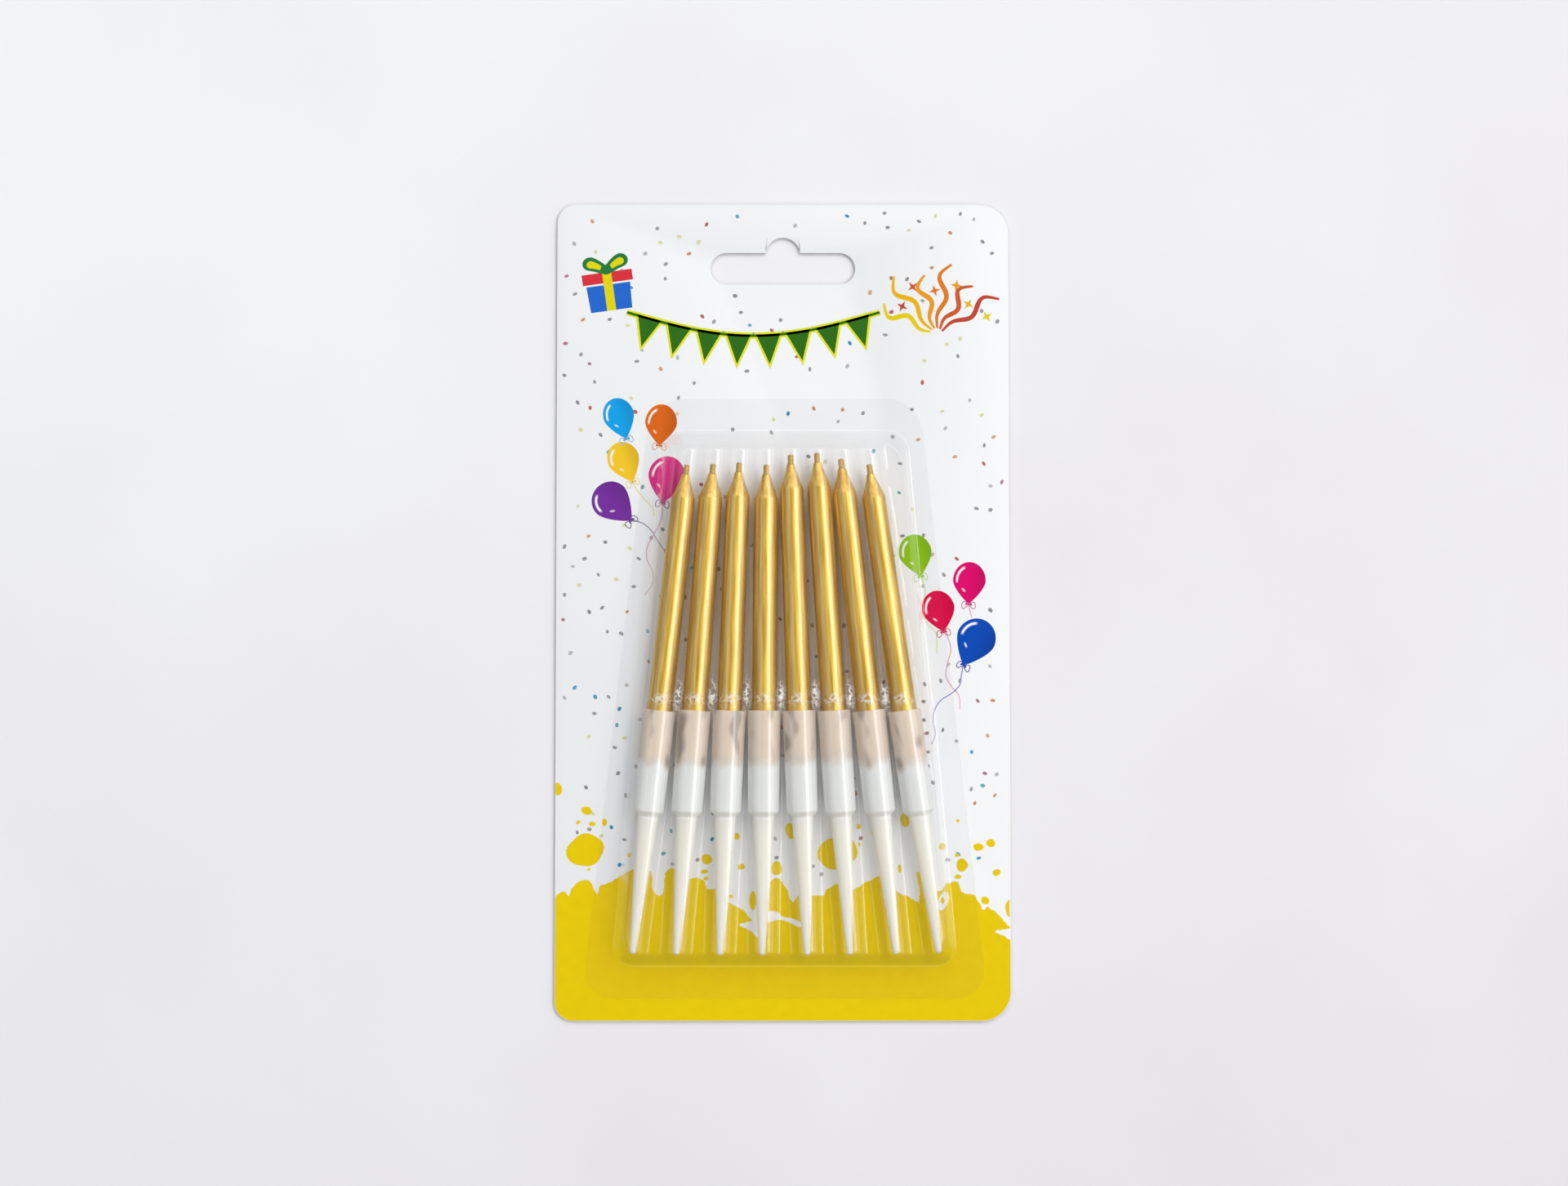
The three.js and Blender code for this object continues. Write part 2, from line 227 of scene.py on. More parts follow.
def clamp(value, low=0, high=1):
    """The value, or the limit that it lies beyond."""
    return min(max(value, low), high)


def line_points(start, end, steps):
    """Points on a straight line between two [a, b] pairs, the first left out."""
    return [[mix(a, b, i / steps) for a, b in zip(start, end)] for i in range(1, steps + 1)]


def only(*pieces):
    """Selects these objects alone, the first one active."""
    bpy.ops.object.select_all(action="DESELECT")
    for piece in pieces:
        piece.select_set(True)
    bpy.context.view_layer.objects.active = pieces[0]


def begin_edit(piece, mode="VERT"):
    """Opens one object in edit mode with all of it selected."""
    only(piece)
    bpy.ops.object.mode_set(mode="EDIT")
    bpy.ops.mesh.select_mode(type=mode)
    bpy.ops.mesh.select_all(action="SELECT")


def end_edit(smooth=None):
    """Leaves edit mode, and shades smooth across edges that turn less than an angle in degrees."""
    bpy.ops.object.mode_set(mode="OBJECT")
    if smooth is not None:
        bpy.ops.object.shade_smooth_by_angle(angle=math.radians(smooth))


def pick(piece, part, wanted):
    """Selects the edit mesh's points, edges or faces whose middle meets a test."""
    bpy.ops.mesh.select_all(action="DESELECT")
    bpy.ops.object.mode_set(mode="OBJECT")
    mesh = piece.data
    for item in getattr(mesh, part):
        if part == "vertices":
            item.select = wanted(item.co)
        else:
            corners = [mesh.vertices[i].co for i in item.vertices]
            item.select = wanted(sum(corners, Vector()) / len(corners), *corners)
    bpy.ops.object.mode_set(mode="EDIT")


def grow_rings(rings):
    """Extrudes the selected ring up [radius, height] pairs. A radius of 0 closes the form on its axis."""
    radius, height = rings[0]
    for next_radius, next_height in rings[1:]:
        bpy.ops.mesh.extrude_region_move(TRANSFORM_OT_translate={"value": (0, 0, next_height - height)})
        share = next_radius / radius
        bpy.ops.transform.resize(value=(share, share, 1), center_override=(0, 0, next_height))
        if next_radius == 0:
            bpy.ops.mesh.merge(type="COLLAPSE")
            break
        radius, height = next_radius, next_height


def turned(name, rings, sides, smooth):
    """Closed form turned about Z. It starts as a circle and grows ring by ring. Sizes are metres, and edges
    that turn less than smooth degrees are shaded smooth."""
    first = next(i for i, ring in enumerate(rings) if ring[0] > 0)
    radius, height = rings[first]
    bpy.ops.object.select_all(action="DESELECT")
    bpy.ops.mesh.primitive_circle_add(vertices=sides, radius=radius, location=(0, 0, height))
    piece = bpy.context.object
    piece.name = piece.data.name = name
    bpy.ops.object.transform_apply(location=True, rotation=False, scale=False)
    begin_edit(piece)
    if first > 0:
        rise = rings[first - 1][1] - height
        bpy.ops.mesh.extrude_region_move(TRANSFORM_OT_translate={"value": (0, 0, rise)})
        bpy.ops.mesh.merge(type="CENTER")
        pick(piece, "vertices", lambda co: math.hypot(co.x, co.y) > radius * 0.5)
    grow_rings(rings[first:])
    bpy.ops.mesh.select_all(action="SELECT")
    bpy.ops.mesh.remove_doubles(threshold=1e-6)
    bpy.ops.mesh.normals_make_consistent(inside=False)
    end_edit(smooth)
    return piece


def keep_own_place(piece):
    """Stores each point's place on the model, in millimetres, so that a pattern stays with the piece."""
    layer = piece.data.attributes.new("own_place", "FLOAT_VECTOR", "POINT")
    for value, point in zip(layer.data, piece.data.vertices):
        value.vector = point.co / MM


def copy_at(model, name, matrix, shift=0.0):
    """Copy with its own mesh, moved by a matrix. Its pattern is taken from shift millimetres away."""
    copy = model.copy()
    copy.data = model.data.copy()
    copy.name = copy.data.name = name
    bpy.context.collection.objects.link(copy)
    copy.data.transform(matrix)
    layer = copy.data.attributes.get("own_place")
    if layer is not None and shift:
        for value in layer.data:
            value.vector = Vector(value.vector) + Vector((shift, 0, 0))
    return copy


def drop(piece):
    """Removes an object and its mesh."""
    mesh = piece.data
    bpy.data.objects.remove(piece)
    if mesh.users == 0:
        bpy.data.meshes.remove(mesh)


def apply_modifier(piece, kind, **settings):
    only(piece)
    modifier = piece.modifiers.new(kind.title(), kind)
    for name, value in settings.items():
        setattr(modifier, name, value)
    bpy.ops.object.modifier_apply(modifier=modifier.name)


def arc_points(middle, radius, start, end, steps):
    """Points on an arc, as [radius, height] pairs about a middle given the same way. Angles are degrees."""
    angles = [math.radians(start + (end - start) * i / steps) for i in range(steps + 1)]
    return [[middle[0] + radius * math.cos(a), middle[1] + radius * math.sin(a)] for a in angles]


def smooth_run(points, steps):
    """Points on a smooth curve through [a, b] pairs, steps to each span, the first point left out. Each is a
    weighted sum of the two points before it and the two after it, as on a cubic spline."""
    out = []
    ends = [points[0]] + list(points) + [points[-1]]
    for near in zip(ends, ends[1:], ends[2:], ends[3:]):
        for t in (step / steps for step in range(1, steps + 1)):
            weights = (
                2 * t ** 2 - t - t ** 3, 2 - 5 * t ** 2 + 3 * t ** 3,
                t + 4 * t ** 2 - 3 * t ** 3, t ** 3 - t ** 2)
            out.append([sum(w * v for w, v in zip(weights, values)) / 2 for values in zip(*near)])
    return out


# Materials

# A Mix node's two colour sockets, which share their names with its other sockets
TONE_A, TONE_B = 6, 7
SOFT = {"interpolation_type": "SMOOTHSTEP"}


def add_node(tree, kind, inputs=None, **settings):
    """Adds a node with its settings. An input takes a value, a socket to link, or a node, whose first output
    in use is linked."""
    new = tree.nodes.new(kind)
    for name, value in settings.items():
        setattr(new, name, value)
    for name, value in (inputs or {}).items():
        if isinstance(value, bpy.types.Node):
            value = next(output for output in value.outputs if output.enabled)
        if isinstance(value, bpy.types.NodeSocket):
            tree.links.new(value, new.inputs[name])
        else:
            new.inputs[name].default_value = value
    return new


def new_material(name):
    """Empty material with its node tree."""
    material = bpy.data.materials.new(name)
    material.use_nodes = True
    material.node_tree.nodes.clear()
    return material, material.node_tree


def give(piece, *materials):
    piece.data.materials.clear()
    for material in materials:
        piece.data.materials.append(material)


def gold_coat():
    """Gold-pigmented lacquer on wax, dipped: a soft bright metal under its own satin gloss. Its flakes run in
    pale and ochre streaks along the candle, with the slow waviness of dipped wax."""
    candle = bpy.context.scene.candle_pack.candle
    material, tree = new_material("gold_lacquer_on_wax")
    place = add_node(tree, "ShaderNodeAttribute", attribute_name="own_place").outputs["Vector"]
    # Streaks 0.5 mm wide and 13 mm long
    drawn = add_node(tree, "ShaderNodeMapping", {"Vector": place, "Scale": (1, 1, 0.04)})
    streaks = add_node(tree, "ShaderNodeTexNoise", {"Vector": drawn, "Scale": 1.9, "Detail": 3})
    share = add_node(tree, "ShaderNodeMapRange", {"Value": streaks, "From Min": 0.32, "From Max": 0.68})
    base = add_node(tree, "ShaderNodeMix", {
        "Factor": share, TONE_A: linear("#CE9D25"), TONE_B: (*candle.gold, 1)}, data_type="RGBA")
    rough = add_node(tree, "ShaderNodeMapRange", {"Value": share, "To Min": 0.46, "To Max": 0.56})
    # Flakes of 0.2 mm, coarser than the pigment so that they show, on waves of 4.5 mm
    flakes = add_node(tree, "ShaderNodeTexNoise", {"Vector": place, "Scale": 5.0, "Detail": 2})
    waves = add_node(tree, "ShaderNodeTexNoise", {"Vector": place, "Scale": 0.22, "Detail": 1})
    fine = add_node(tree, "ShaderNodeMath", {0: flakes, 1: 0.06}, operation="MULTIPLY")
    relief = add_node(tree, "ShaderNodeMath", {0: waves, 1: 3.0, 2: fine}, operation="MULTIPLY_ADD")
    bump = add_node(tree, "ShaderNodeBump", {"Strength": 0.6, "Distance": 0.03 * MM, "Height": relief})
    surface = add_node(tree, "ShaderNodeBsdfPrincipled", {
        "Base Color": base, "Roughness": rough, "Metallic": 1.0, "Coat Weight": 1.0, "Coat Roughness": 0.3,
        "Coat IOR": 1.6, "Normal": bump})
    add_node(tree, "ShaderNodeOutputMaterial", {"Surface": surface})
    return material


def cotton_wick():
    """Twisted cotton soaked in wax and dipped with the candle: matt gold thread."""
    material, tree = new_material("gold_dipped_cotton")
    place = add_node(tree, "ShaderNodeAttribute", attribute_name="own_place").outputs["Vector"]
    # Fibres 0.14 mm across, coarser than cotton so that they show
    fibres = add_node(tree, "ShaderNodeTexNoise", {"Vector": place, "Scale": 7.0, "Detail": 4})
    base = add_node(tree, "ShaderNodeMix", {
        "Factor": fibres, TONE_A: linear("#B5852E"), TONE_B: linear("#E8C97C")}, data_type="RGBA")
    bump = add_node(tree, "ShaderNodeBump", {"Strength": 0.5, "Distance": 0.05 * MM, "Height": fibres})
    surface = add_node(tree, "ShaderNodeBsdfPrincipled", {
        "Base Color": base, "Roughness": 0.5, "Metallic": 0.5, "Normal": bump})
    add_node(tree, "ShaderNodeOutputMaterial", {"Surface": surface})
    return material


def milky_plastic():
    """Natural polypropylene, injection moulded: milky and satin. Above the seat the gold candle shows through
    the thin cup, and a warm tint with a ragged edge is painted there for the candle's light scattered in the
    wall, with a few grey patches of painted dark reflection of its metal. The foot of the cup is white, and
    the spike is painted creamy for light bounced up from the yellow print. Some light passes on through it,
    so its shadows stay pale."""
    holder = bpy.context.scene.candle_pack.holder
    material, tree = new_material("natural_polypropylene")
    place = add_node(tree, "ShaderNodeAttribute", attribute_name="own_place").outputs["Vector"]
    along = add_node(tree, "ShaderNodeSeparateXYZ", {"Vector": place}).outputs["Z"]
    seat, foot = -holder.seat / MM, -holder.cup / MM
    # Clouding 3.3 mm wide and 6 mm long
    long_way = add_node(tree, "ShaderNodeMapping", {"Vector": place, "Scale": (1, 1, 0.55)})
    cloud = add_node(tree, "ShaderNodeTexNoise", {"Vector": long_way, "Scale": 0.3, "Detail": 0})
    ragged_edge = add_node(tree, "ShaderNodeMath", {0: cloud, 1: 4.0, 2: along}, operation="MULTIPLY_ADD")
    thin = add_node(tree, "ShaderNodeMapRange", {
        "Value": ragged_edge, "From Min": seat + 0.6, "From Max": seat + 3.2}, **SOFT)
    cup = add_node(tree, "ShaderNodeMapRange", {
        "Value": along, "From Min": foot - 6, "From Max": foot + 2}, **SOFT)
    # Painted light: the warm tint above the seat stands in for the gold candle's light scattered in the milky
    # wall
    painted_candle_glow = add_node(tree, "ShaderNodeMix", {
        "Factor": thin, TONE_A: (*holder.plastic, 1), TONE_B: linear("#F1E1D1")}, data_type="RGBA")
    # Painted bounce light: the spike's creamy colour below the cup stands in for light thrown up from the
    # yellow print under it
    base = add_node(tree, "ShaderNodeMix", {
        "Factor": cup, TONE_A: linear("#ECE9DE"), TONE_B: painted_candle_glow}, data_type="RGBA")
    # Painted reflection: grey patches above the seat stand in for the dark reflection of the candle's metal
    # seen through the wall
    dark_reflection_patch = add_node(tree, "ShaderNodeMapRange", {
        "Value": cloud, "From Min": 0.58, "From Max": 0.76, "To Max": 0.6}, **SOFT)
    painted_dark_reflection = add_node(tree, "ShaderNodeMath", {0: dark_reflection_patch, 1: thin}, operation="MULTIPLY")
    base_with_dark_reflection = add_node(tree, "ShaderNodeMix", {
        "Factor": painted_dark_reflection, TONE_A: base, TONE_B: linear("#6E6A64")}, data_type="RGBA")
    # The mould's grain of 0.25 mm, coarser than the real one so that it shows
    grain = add_node(tree, "ShaderNodeTexNoise", {"Vector": place, "Scale": 4.0, "Detail": 2})
    bump = add_node(tree, "ShaderNodeBump", {"Strength": 0.3, "Distance": 0.01 * MM, "Height": grain})
    rough = add_node(tree, "ShaderNodeMapRange", {"Value": cloud, "To Min": 0.36, "To Max": 0.48})
    body = add_node(tree, "ShaderNodeBsdfPrincipled", {
        "Base Color": base_with_dark_reflection, "Roughness": rough, "IOR": 1.49, "Subsurface Weight": 0.5,
        "Subsurface Scale": 2 * MM, "Subsurface Radius": (1.0, 0.9, 0.8), "Normal": bump})
    shadow = add_node(tree, "ShaderNodeLightPath").outputs["Is Shadow Ray"]
    lit_through = add_node(tree, "ShaderNodeMath", {0: shadow, 1: 0.4}, operation="MULTIPLY")
    open_share = add_node(tree, "ShaderNodeMath", {0: thin, 1: 0.3, 2: lit_through}, operation="MULTIPLY_ADD")
    clear = add_node(tree, "ShaderNodeBsdfTransparent")
    surface = add_node(tree, "ShaderNodeMixShader", {0: open_share, 1: body, 2: clear})
    add_node(tree, "ShaderNodeOutputMaterial", {"Surface": surface})
    return material


def clear_film():
    """Vacuum-formed clear polyester, so thin that what it covers shows through unbent. It mirrors as a
    sheet's outer face does, and has the slow waviness of drawn sheet. Where the walls were drawn down it is
    hazy, and painted shade lets less light through there, most at the foot wall. Where the mould creased it,
    white threads are painted highlights that stand in for the creases' glints."""
    film = bpy.context.scene.candle_pack.film
    material, tree = new_material("clear_polyester_film")
    place = add_node(tree, "ShaderNodeTexCoord").outputs["Object"]
    # Waves of 6 mm
    waves = add_node(tree, "ShaderNodeTexNoise", {"Vector": place, "Scale": 0.16 / MM, "Detail": 2})
    bump = add_node(tree, "ShaderNodeBump", {"Strength": 0.2, "Distance": 0.12 * MM, "Height": waves})
    fresnel = add_node(tree, "ShaderNodeFresnel", {"IOR": 1.57, "Normal": bump})
    back = add_node(tree, "ShaderNodeNewGeometry").outputs["Backfacing"]
    shadow = add_node(tree, "ShaderNodeLightPath").outputs["Is Shadow Ray"]
    hidden = add_node(tree, "ShaderNodeMath", {0: back, 1: shadow}, operation="MAXIMUM")
    seen = add_node(tree, "ShaderNodeMath", {0: 1.0, 1: hidden}, operation="SUBTRACT")
    drawn = add_node(tree, "ShaderNodeAttribute", attribute_name="drawn").outputs["Fac"]
    dulled = add_node(tree, "ShaderNodeMapRange", {"Value": drawn, "To Min": 1.0, "To Max": 0.2})
    shining = add_node(tree, "ShaderNodeMath", {0: dulled, 1: seen}, operation="MULTIPLY")
    mirror_share = add_node(tree, "ShaderNodeMath", {0: fresnel, 1: shining}, operation="MULTIPLY")
    # Painted shade: light through the drawn walls is darkened, most at the foot wall
    through = add_node(tree, "ShaderNodeMix", {
        "Factor": drawn, TONE_A: (*film.tint, 1), TONE_B: linear("#F3F3F3")}, data_type="RGBA")
    clear = add_node(tree, "ShaderNodeBsdfTransparent", {"Color": through})
    haze = add_node(tree, "ShaderNodeMapRange", {"Value": drawn, "To Min": 0.1, "To Max": 0.5})
    mirror = add_node(tree, "ShaderNodeBsdfPrincipled", {
        "Base Color": linear("#FFFFFF"), "Metallic": 1.0, "Roughness": haze, "Normal": bump})
    sheet = add_node(tree, "ShaderNodeMixShader", {0: mirror_share, 1: clear, 2: mirror})
    crease_glint_share = add_node(tree, "ShaderNodeAttribute", attribute_name="crease").outputs["Fac"]
    # Painted highlight: white threads along the middle level of a noise of 1.3 mm, for the glints of the
    # creases
    tangle = add_node(tree, "ShaderNodeTexNoise", {"Vector": place, "Scale": 0.75 / MM, "Detail": 1})
    off = add_node(tree, "ShaderNodeMath", {0: tangle, 1: 0.5}, operation="SUBTRACT")
    near = add_node(tree, "ShaderNodeMath", {0: off}, operation="ABSOLUTE")
    thread = add_node(tree, "ShaderNodeMapRange", {"Value": near, "From Min": 0.07, "From Max": 0.03})
    painted_glint_share = add_node(tree, "ShaderNodeMath", {0: thread, 1: crease_glint_share}, operation="MULTIPLY")
    glint_white = add_node(tree, "ShaderNodeBsdfPrincipled", {"Base Color": linear("#F2F0EE"), "Roughness": 0.5})
    surface = add_node(tree, "ShaderNodeMixShader", {0: painted_glint_share, 1: sheet, 2: glint_white})
    add_node(tree, "ShaderNodeOutputMaterial", {"Surface": surface})
    return material


def coated_board():
    """Clay-coated folding board under satin varnish: white and faintly clouded, with a slight orange-peel."""
    card = bpy.context.scene.candle_pack.card
    material, tree = new_material("clay_coated_board")
    place = add_node(tree, "ShaderNodeTexCoord").outputs["Object"]
    # Clouding of 33 mm and orange-peel of 0.9 mm
    cloud = add_node(tree, "ShaderNodeTexNoise", {"Vector": place, "Scale": 0.03 / MM, "Detail": 2})
    peel = add_node(tree, "ShaderNodeTexNoise", {"Vector": place, "Scale": 1.1 / MM, "Detail": 2})
    base = add_node(tree, "ShaderNodeMix", {
        "Factor": cloud, TONE_A: linear("#EAEBEC"), TONE_B: (*card.face, 1)}, data_type="RGBA")
    bump = add_node(tree, "ShaderNodeBump", {"Strength": 0.25, "Distance": 0.01 * MM, "Height": peel})
    surface = add_node(tree, "ShaderNodeBsdfPrincipled", {
        "Base Color": base, "Roughness": 0.42, "IOR": 1.5, "Normal": bump})
    add_node(tree, "ShaderNodeOutputMaterial", {"Surface": surface})
    return material


def raw_board():
    """Uncoated back and die-cut edge of the board: matt, with short grey-brown fibres."""
    card = bpy.context.scene.candle_pack.card
    material, tree = new_material("uncoated_board")
    place = add_node(tree, "ShaderNodeTexCoord").outputs["Object"]
    # Fibres 0.45 mm across and 1.8 mm long, coarser than the board's own so that they show
    laid = add_node(tree, "ShaderNodeMapping", {"Vector": place, "Scale": (1, 0.25, 1)})
    fibres = add_node(tree, "ShaderNodeTexNoise", {"Vector": laid, "Scale": 2.2 / MM, "Detail": 4})
    specks = add_node(tree, "ShaderNodeMapRange", {"Value": fibres, "From Min": 0.35, "From Max": 0.62})
    base = add_node(tree, "ShaderNodeMix", {
        "Factor": specks, TONE_A: linear("#CFCBC1"), TONE_B: (*card.back, 1)}, data_type="RGBA")
    bump = add_node(tree, "ShaderNodeBump", {"Strength": 0.5, "Distance": 0.03 * MM, "Height": fibres})
    surface = add_node(tree, "ShaderNodeBsdfPrincipled", {
        "Base Color": base, "Roughness": 0.85, "Normal": bump})
    add_node(tree, "ShaderNodeOutputMaterial", {"Surface": surface})
    return material


def offset_ink():
    """Offset ink under the board's varnish: each shape has its own colour, as uneven as litho print is."""
    material, tree = new_material("offset_ink")
    place = add_node(tree, "ShaderNodeTexCoord").outputs["Object"]
    # Mottle of 2 mm, and the varnish's orange-peel of 0.9 mm
    mottle = add_node(tree, "ShaderNodeTexNoise", {"Vector": place, "Scale": 0.5 / MM, "Detail": 4})
    peel = add_node(tree, "ShaderNodeTexNoise", {"Vector": place, "Scale": 1.1 / MM, "Detail": 2})
    light = add_node(tree, "ShaderNodeMapRange", {"Value": mottle, "To Min": 0.95, "To Max": 1.04})
    ink = add_node(tree, "ShaderNodeAttribute", attribute_name="ink").outputs["Color"]
    base = add_node(tree, "ShaderNodeHueSaturation", {"Value": light, "Color": ink})
    bump = add_node(tree, "ShaderNodeBump", {"Strength": 0.25, "Distance": 0.01 * MM, "Height": peel})
    surface = add_node(tree, "ShaderNodeBsdfPrincipled", {
        "Base Color": base, "Roughness": 0.22, "IOR": 1.45, "Normal": bump})
    add_node(tree, "ShaderNodeOutputMaterial", {"Surface": surface})
    return material


def balloon_ink():
    """Offset ink with a printed shine: darker towards the balloon's right edge, with a pale crescent high on
    its left side and a short glint below. The balloon's own UV map runs from -1 to 1 across it."""
    material, tree = new_material("offset_ink_shaded")
    uv = add_node(tree, "ShaderNodeUVMap", uv_map="balloon").outputs["UV"]
    ink = add_node(tree, "ShaderNodeAttribute", attribute_name="ink").outputs["Color"]
    across = add_node(tree, "ShaderNodeSeparateXYZ", {"Vector": uv}).outputs["X"]
    shade = add_node(tree, "ShaderNodeMapRange", {
        "Value": across, "From Min": -0.2, "From Max": 1.0, "To Min": 1.0, "To Max": 0.78}, **SOFT)
    body = add_node(tree, "ShaderNodeHueSaturation", {"Value": shade, "Color": ink})
    radius = add_node(tree, "ShaderNodeVectorMath", {0: uv}, operation="LENGTH")
    off = add_node(tree, "ShaderNodeMath", {0: radius, 1: 0.76}, operation="SUBTRACT")
    near = add_node(tree, "ShaderNodeMath", {0: off}, operation="ABSOLUTE")
    band = add_node(tree, "ShaderNodeMapRange", {"Value": near, "From Min": 0.1, "From Max": 0.02}, **SOFT)
    unit = add_node(tree, "ShaderNodeVectorMath", {0: uv}, operation="NORMALIZE")
    facing = add_node(tree, "ShaderNodeVectorMath", {0: unit, 1: (-0.87, 0.5, 0)}, operation="DOT_PRODUCT")
    sector = add_node(tree, "ShaderNodeMapRange", {
        "Value": facing, "From Min": 0.74, "From Max": 0.9}, **SOFT)
    crescent = add_node(tree, "ShaderNodeMath", {0: band, 1: sector}, operation="MULTIPLY")
    from_spot = add_node(tree, "ShaderNodeVectorMath", {0: uv, 1: (-0.34, -0.5, 0)}, operation="SUBTRACT")
    turned_spot = add_node(tree, "ShaderNodeVectorRotate", {
        "Vector": from_spot, "Angle": math.radians(40)}, rotation_type="Z_AXIS")
    spot = add_node(tree, "ShaderNodeVectorMath", {0: turned_spot, 1: (5.0, 13.0, 0)}, operation="MULTIPLY")
    spread = add_node(tree, "ShaderNodeVectorMath", {0: spot}, operation="LENGTH")
    glint = add_node(tree, "ShaderNodeMapRange", {
        "Value": spread, "From Min": 1.0, "From Max": 0.3, "To Max": 0.7}, **SOFT)
    shine = add_node(tree, "ShaderNodeMath", {0: crescent, 1: glint}, operation="MAXIMUM")
    base = add_node(tree, "ShaderNodeMix", {
        "Factor": shine, TONE_A: body, TONE_B: linear("#F4F3F5")}, data_type="RGBA")
    surface = add_node(tree, "ShaderNodeBsdfPrincipled", {"Base Color": base, "Roughness": 0.2, "IOR": 1.45})
    add_node(tree, "ShaderNodeOutputMaterial", {"Surface": surface})
    return material


def floor_paint():
    """Matt pale paper, faintly clouded over hands' widths, with painted shade that makes it a little darker
    towards the foot and the right.
    """
    stage = bpy.context.scene.candle_pack.stage
    material, tree = new_material("pale_paper_sweep")
    place = add_node(tree, "ShaderNodeTexCoord").outputs["Object"]
    # Clouding of 110 mm
    cloud = add_node(tree, "ShaderNodeTexNoise", {"Vector": place, "Scale": 9.0, "Detail": 4})
    # Painted shade: the floor's colour falls off towards the foot and the right, as the light does
    painted_shade_slope = add_node(tree, "ShaderNodeVectorMath", {0: place, 1: (-1.5, 1.9, 0)}, operation="DOT_PRODUCT")
    share = add_node(tree, "ShaderNodeMath", {0: cloud, 1: painted_shade_slope}, operation="ADD", use_clamp=True)
    base = add_node(tree, "ShaderNodeMix", {
        "Factor": share, TONE_A: linear("#E2DEE3"), TONE_B: (*stage.floor, 1)}, data_type="RGBA")
    surface = add_node(tree, "ShaderNodeBsdfPrincipled", {"Base Color": base, "Roughness": 0.7})
    add_node(tree, "ShaderNodeOutputMaterial", {"Surface": surface})
    return material


# Backing card

def rounded_block(name, low, high, radius, segments, corners=None):
    """Block whose upright edges are bevelled to a radius, all of them or those that corners picks."""
    middle = (low + high) / 2
    bpy.ops.object.select_all(action="DESELECT")
    bpy.ops.mesh.primitive_cube_add(size=1, location=middle, scale=tuple(high - low))
    piece = bpy.context.object
    piece.name = piece.data.name = name
    bpy.ops.object.transform_apply(location=True, rotation=False, scale=True)
    begin_edit(piece, "EDGE")
    pick(piece, "edges", lambda mid, a, b: abs(a.z - b.z) > 1e-6 and (corners is None or corners(mid)))
    bpy.ops.mesh.bevel(offset=radius, offset_type="OFFSET", segments=segments, affect="EDGES")
    end_edit()
    return piece


def slot_cutter():
    """Round-ended bar with a filleted hump, tall enough to cut right through the card."""
    card = bpy.context.scene.candle_pack.card
    middle = Vector((0, CARD_HIGH.y - card.slot_from_top, 0))
    half = Vector((card.slot_width / 2, card.slot_height / 2, 2 * MM))
    bar = rounded_block("slot_cutter", middle - half, middle + half, half.y * 0.9999, 24)
    top = middle.y + half.y
    hump_middle = top + card.hump_rise - card.hump_radius
    bpy.ops.object.select_all(action="DESELECT")
    bpy.ops.mesh.primitive_cylinder_add(
        vertices=96, radius=card.hump_radius, depth=2 * half.z, location=(0, hump_middle, 0))
    hump = bpy.context.object
    bpy.ops.object.transform_apply(location=True, rotation=False, scale=False)
    apply_modifier(bar, "BOOLEAN", operation="UNION", object=hump, solver="EXACT")
    drop(hump)
    begin_edit(bar, "EDGE")
    pick(bar, "edges", lambda mid, a, b: abs(a.z - b.z) > MM and abs(mid.y - top) < 0.02 * MM
         and MM < abs(mid.x) < card.hump_radius * 1.05)
    bpy.ops.mesh.bevel(offset=card.hump_fillet * 0.8, offset_type="OFFSET", segments=8, affect="EDGES")
    end_edit()
    return bar


def build_card():
    """Cuts the board, its rounded corners and its slot, and rounds the die-cut edges a little."""
    card = bpy.context.scene.candle_pack.card
    board = rounded_block(
        "backing_board", CARD_LOW.copy(), CARD_HIGH.copy(), card.corner_left, 18, lambda mid: mid.x < 0)
    begin_edit(board, "EDGE")
    pick(board, "edges", lambda mid, a, b: abs(a.z - b.z) > 1e-6 and mid.x > CARD_HIGH.x - 0.01 * MM
         and abs(mid.y) > CARD_HIGH.y - 0.01 * MM)
    bpy.ops.mesh.bevel(offset=card.corner_right, offset_type="OFFSET", segments=24, affect="EDGES")
    end_edit()
    cutter = slot_cutter()
    apply_modifier(board, "BOOLEAN", operation="DIFFERENCE", object=cutter, solver="EXACT")
    drop(cutter)
    begin_edit(board, "EDGE")
    bpy.ops.mesh.remove_doubles(threshold=1e-6)
    pick(board, "edges", lambda mid, a, b: False)
    bpy.ops.mesh.edges_select_sharp(sharpness=math.radians(60))
    bpy.ops.mesh.bevel(offset=0.09 * MM, offset_type="OFFSET", segments=3, affect="EDGES")
    end_edit(35)
    give(board, coated_board(), raw_board())
    for face in board.data.polygons:
        face.material_index = 0 if face.center.z > CARD_HIGH.z - 0.1 * MM else 1
    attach(board, "pack")
    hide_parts("backing_card")


# Candles, wicks and holders

# Length of wick, in metres, over which its three plies go once round
WICK_LAY = 2.6 * MM


def in_millimetres(settings, *names):
    """Settings by name, as millimetres."""
    return (getattr(settings, name) / MM for name in names)


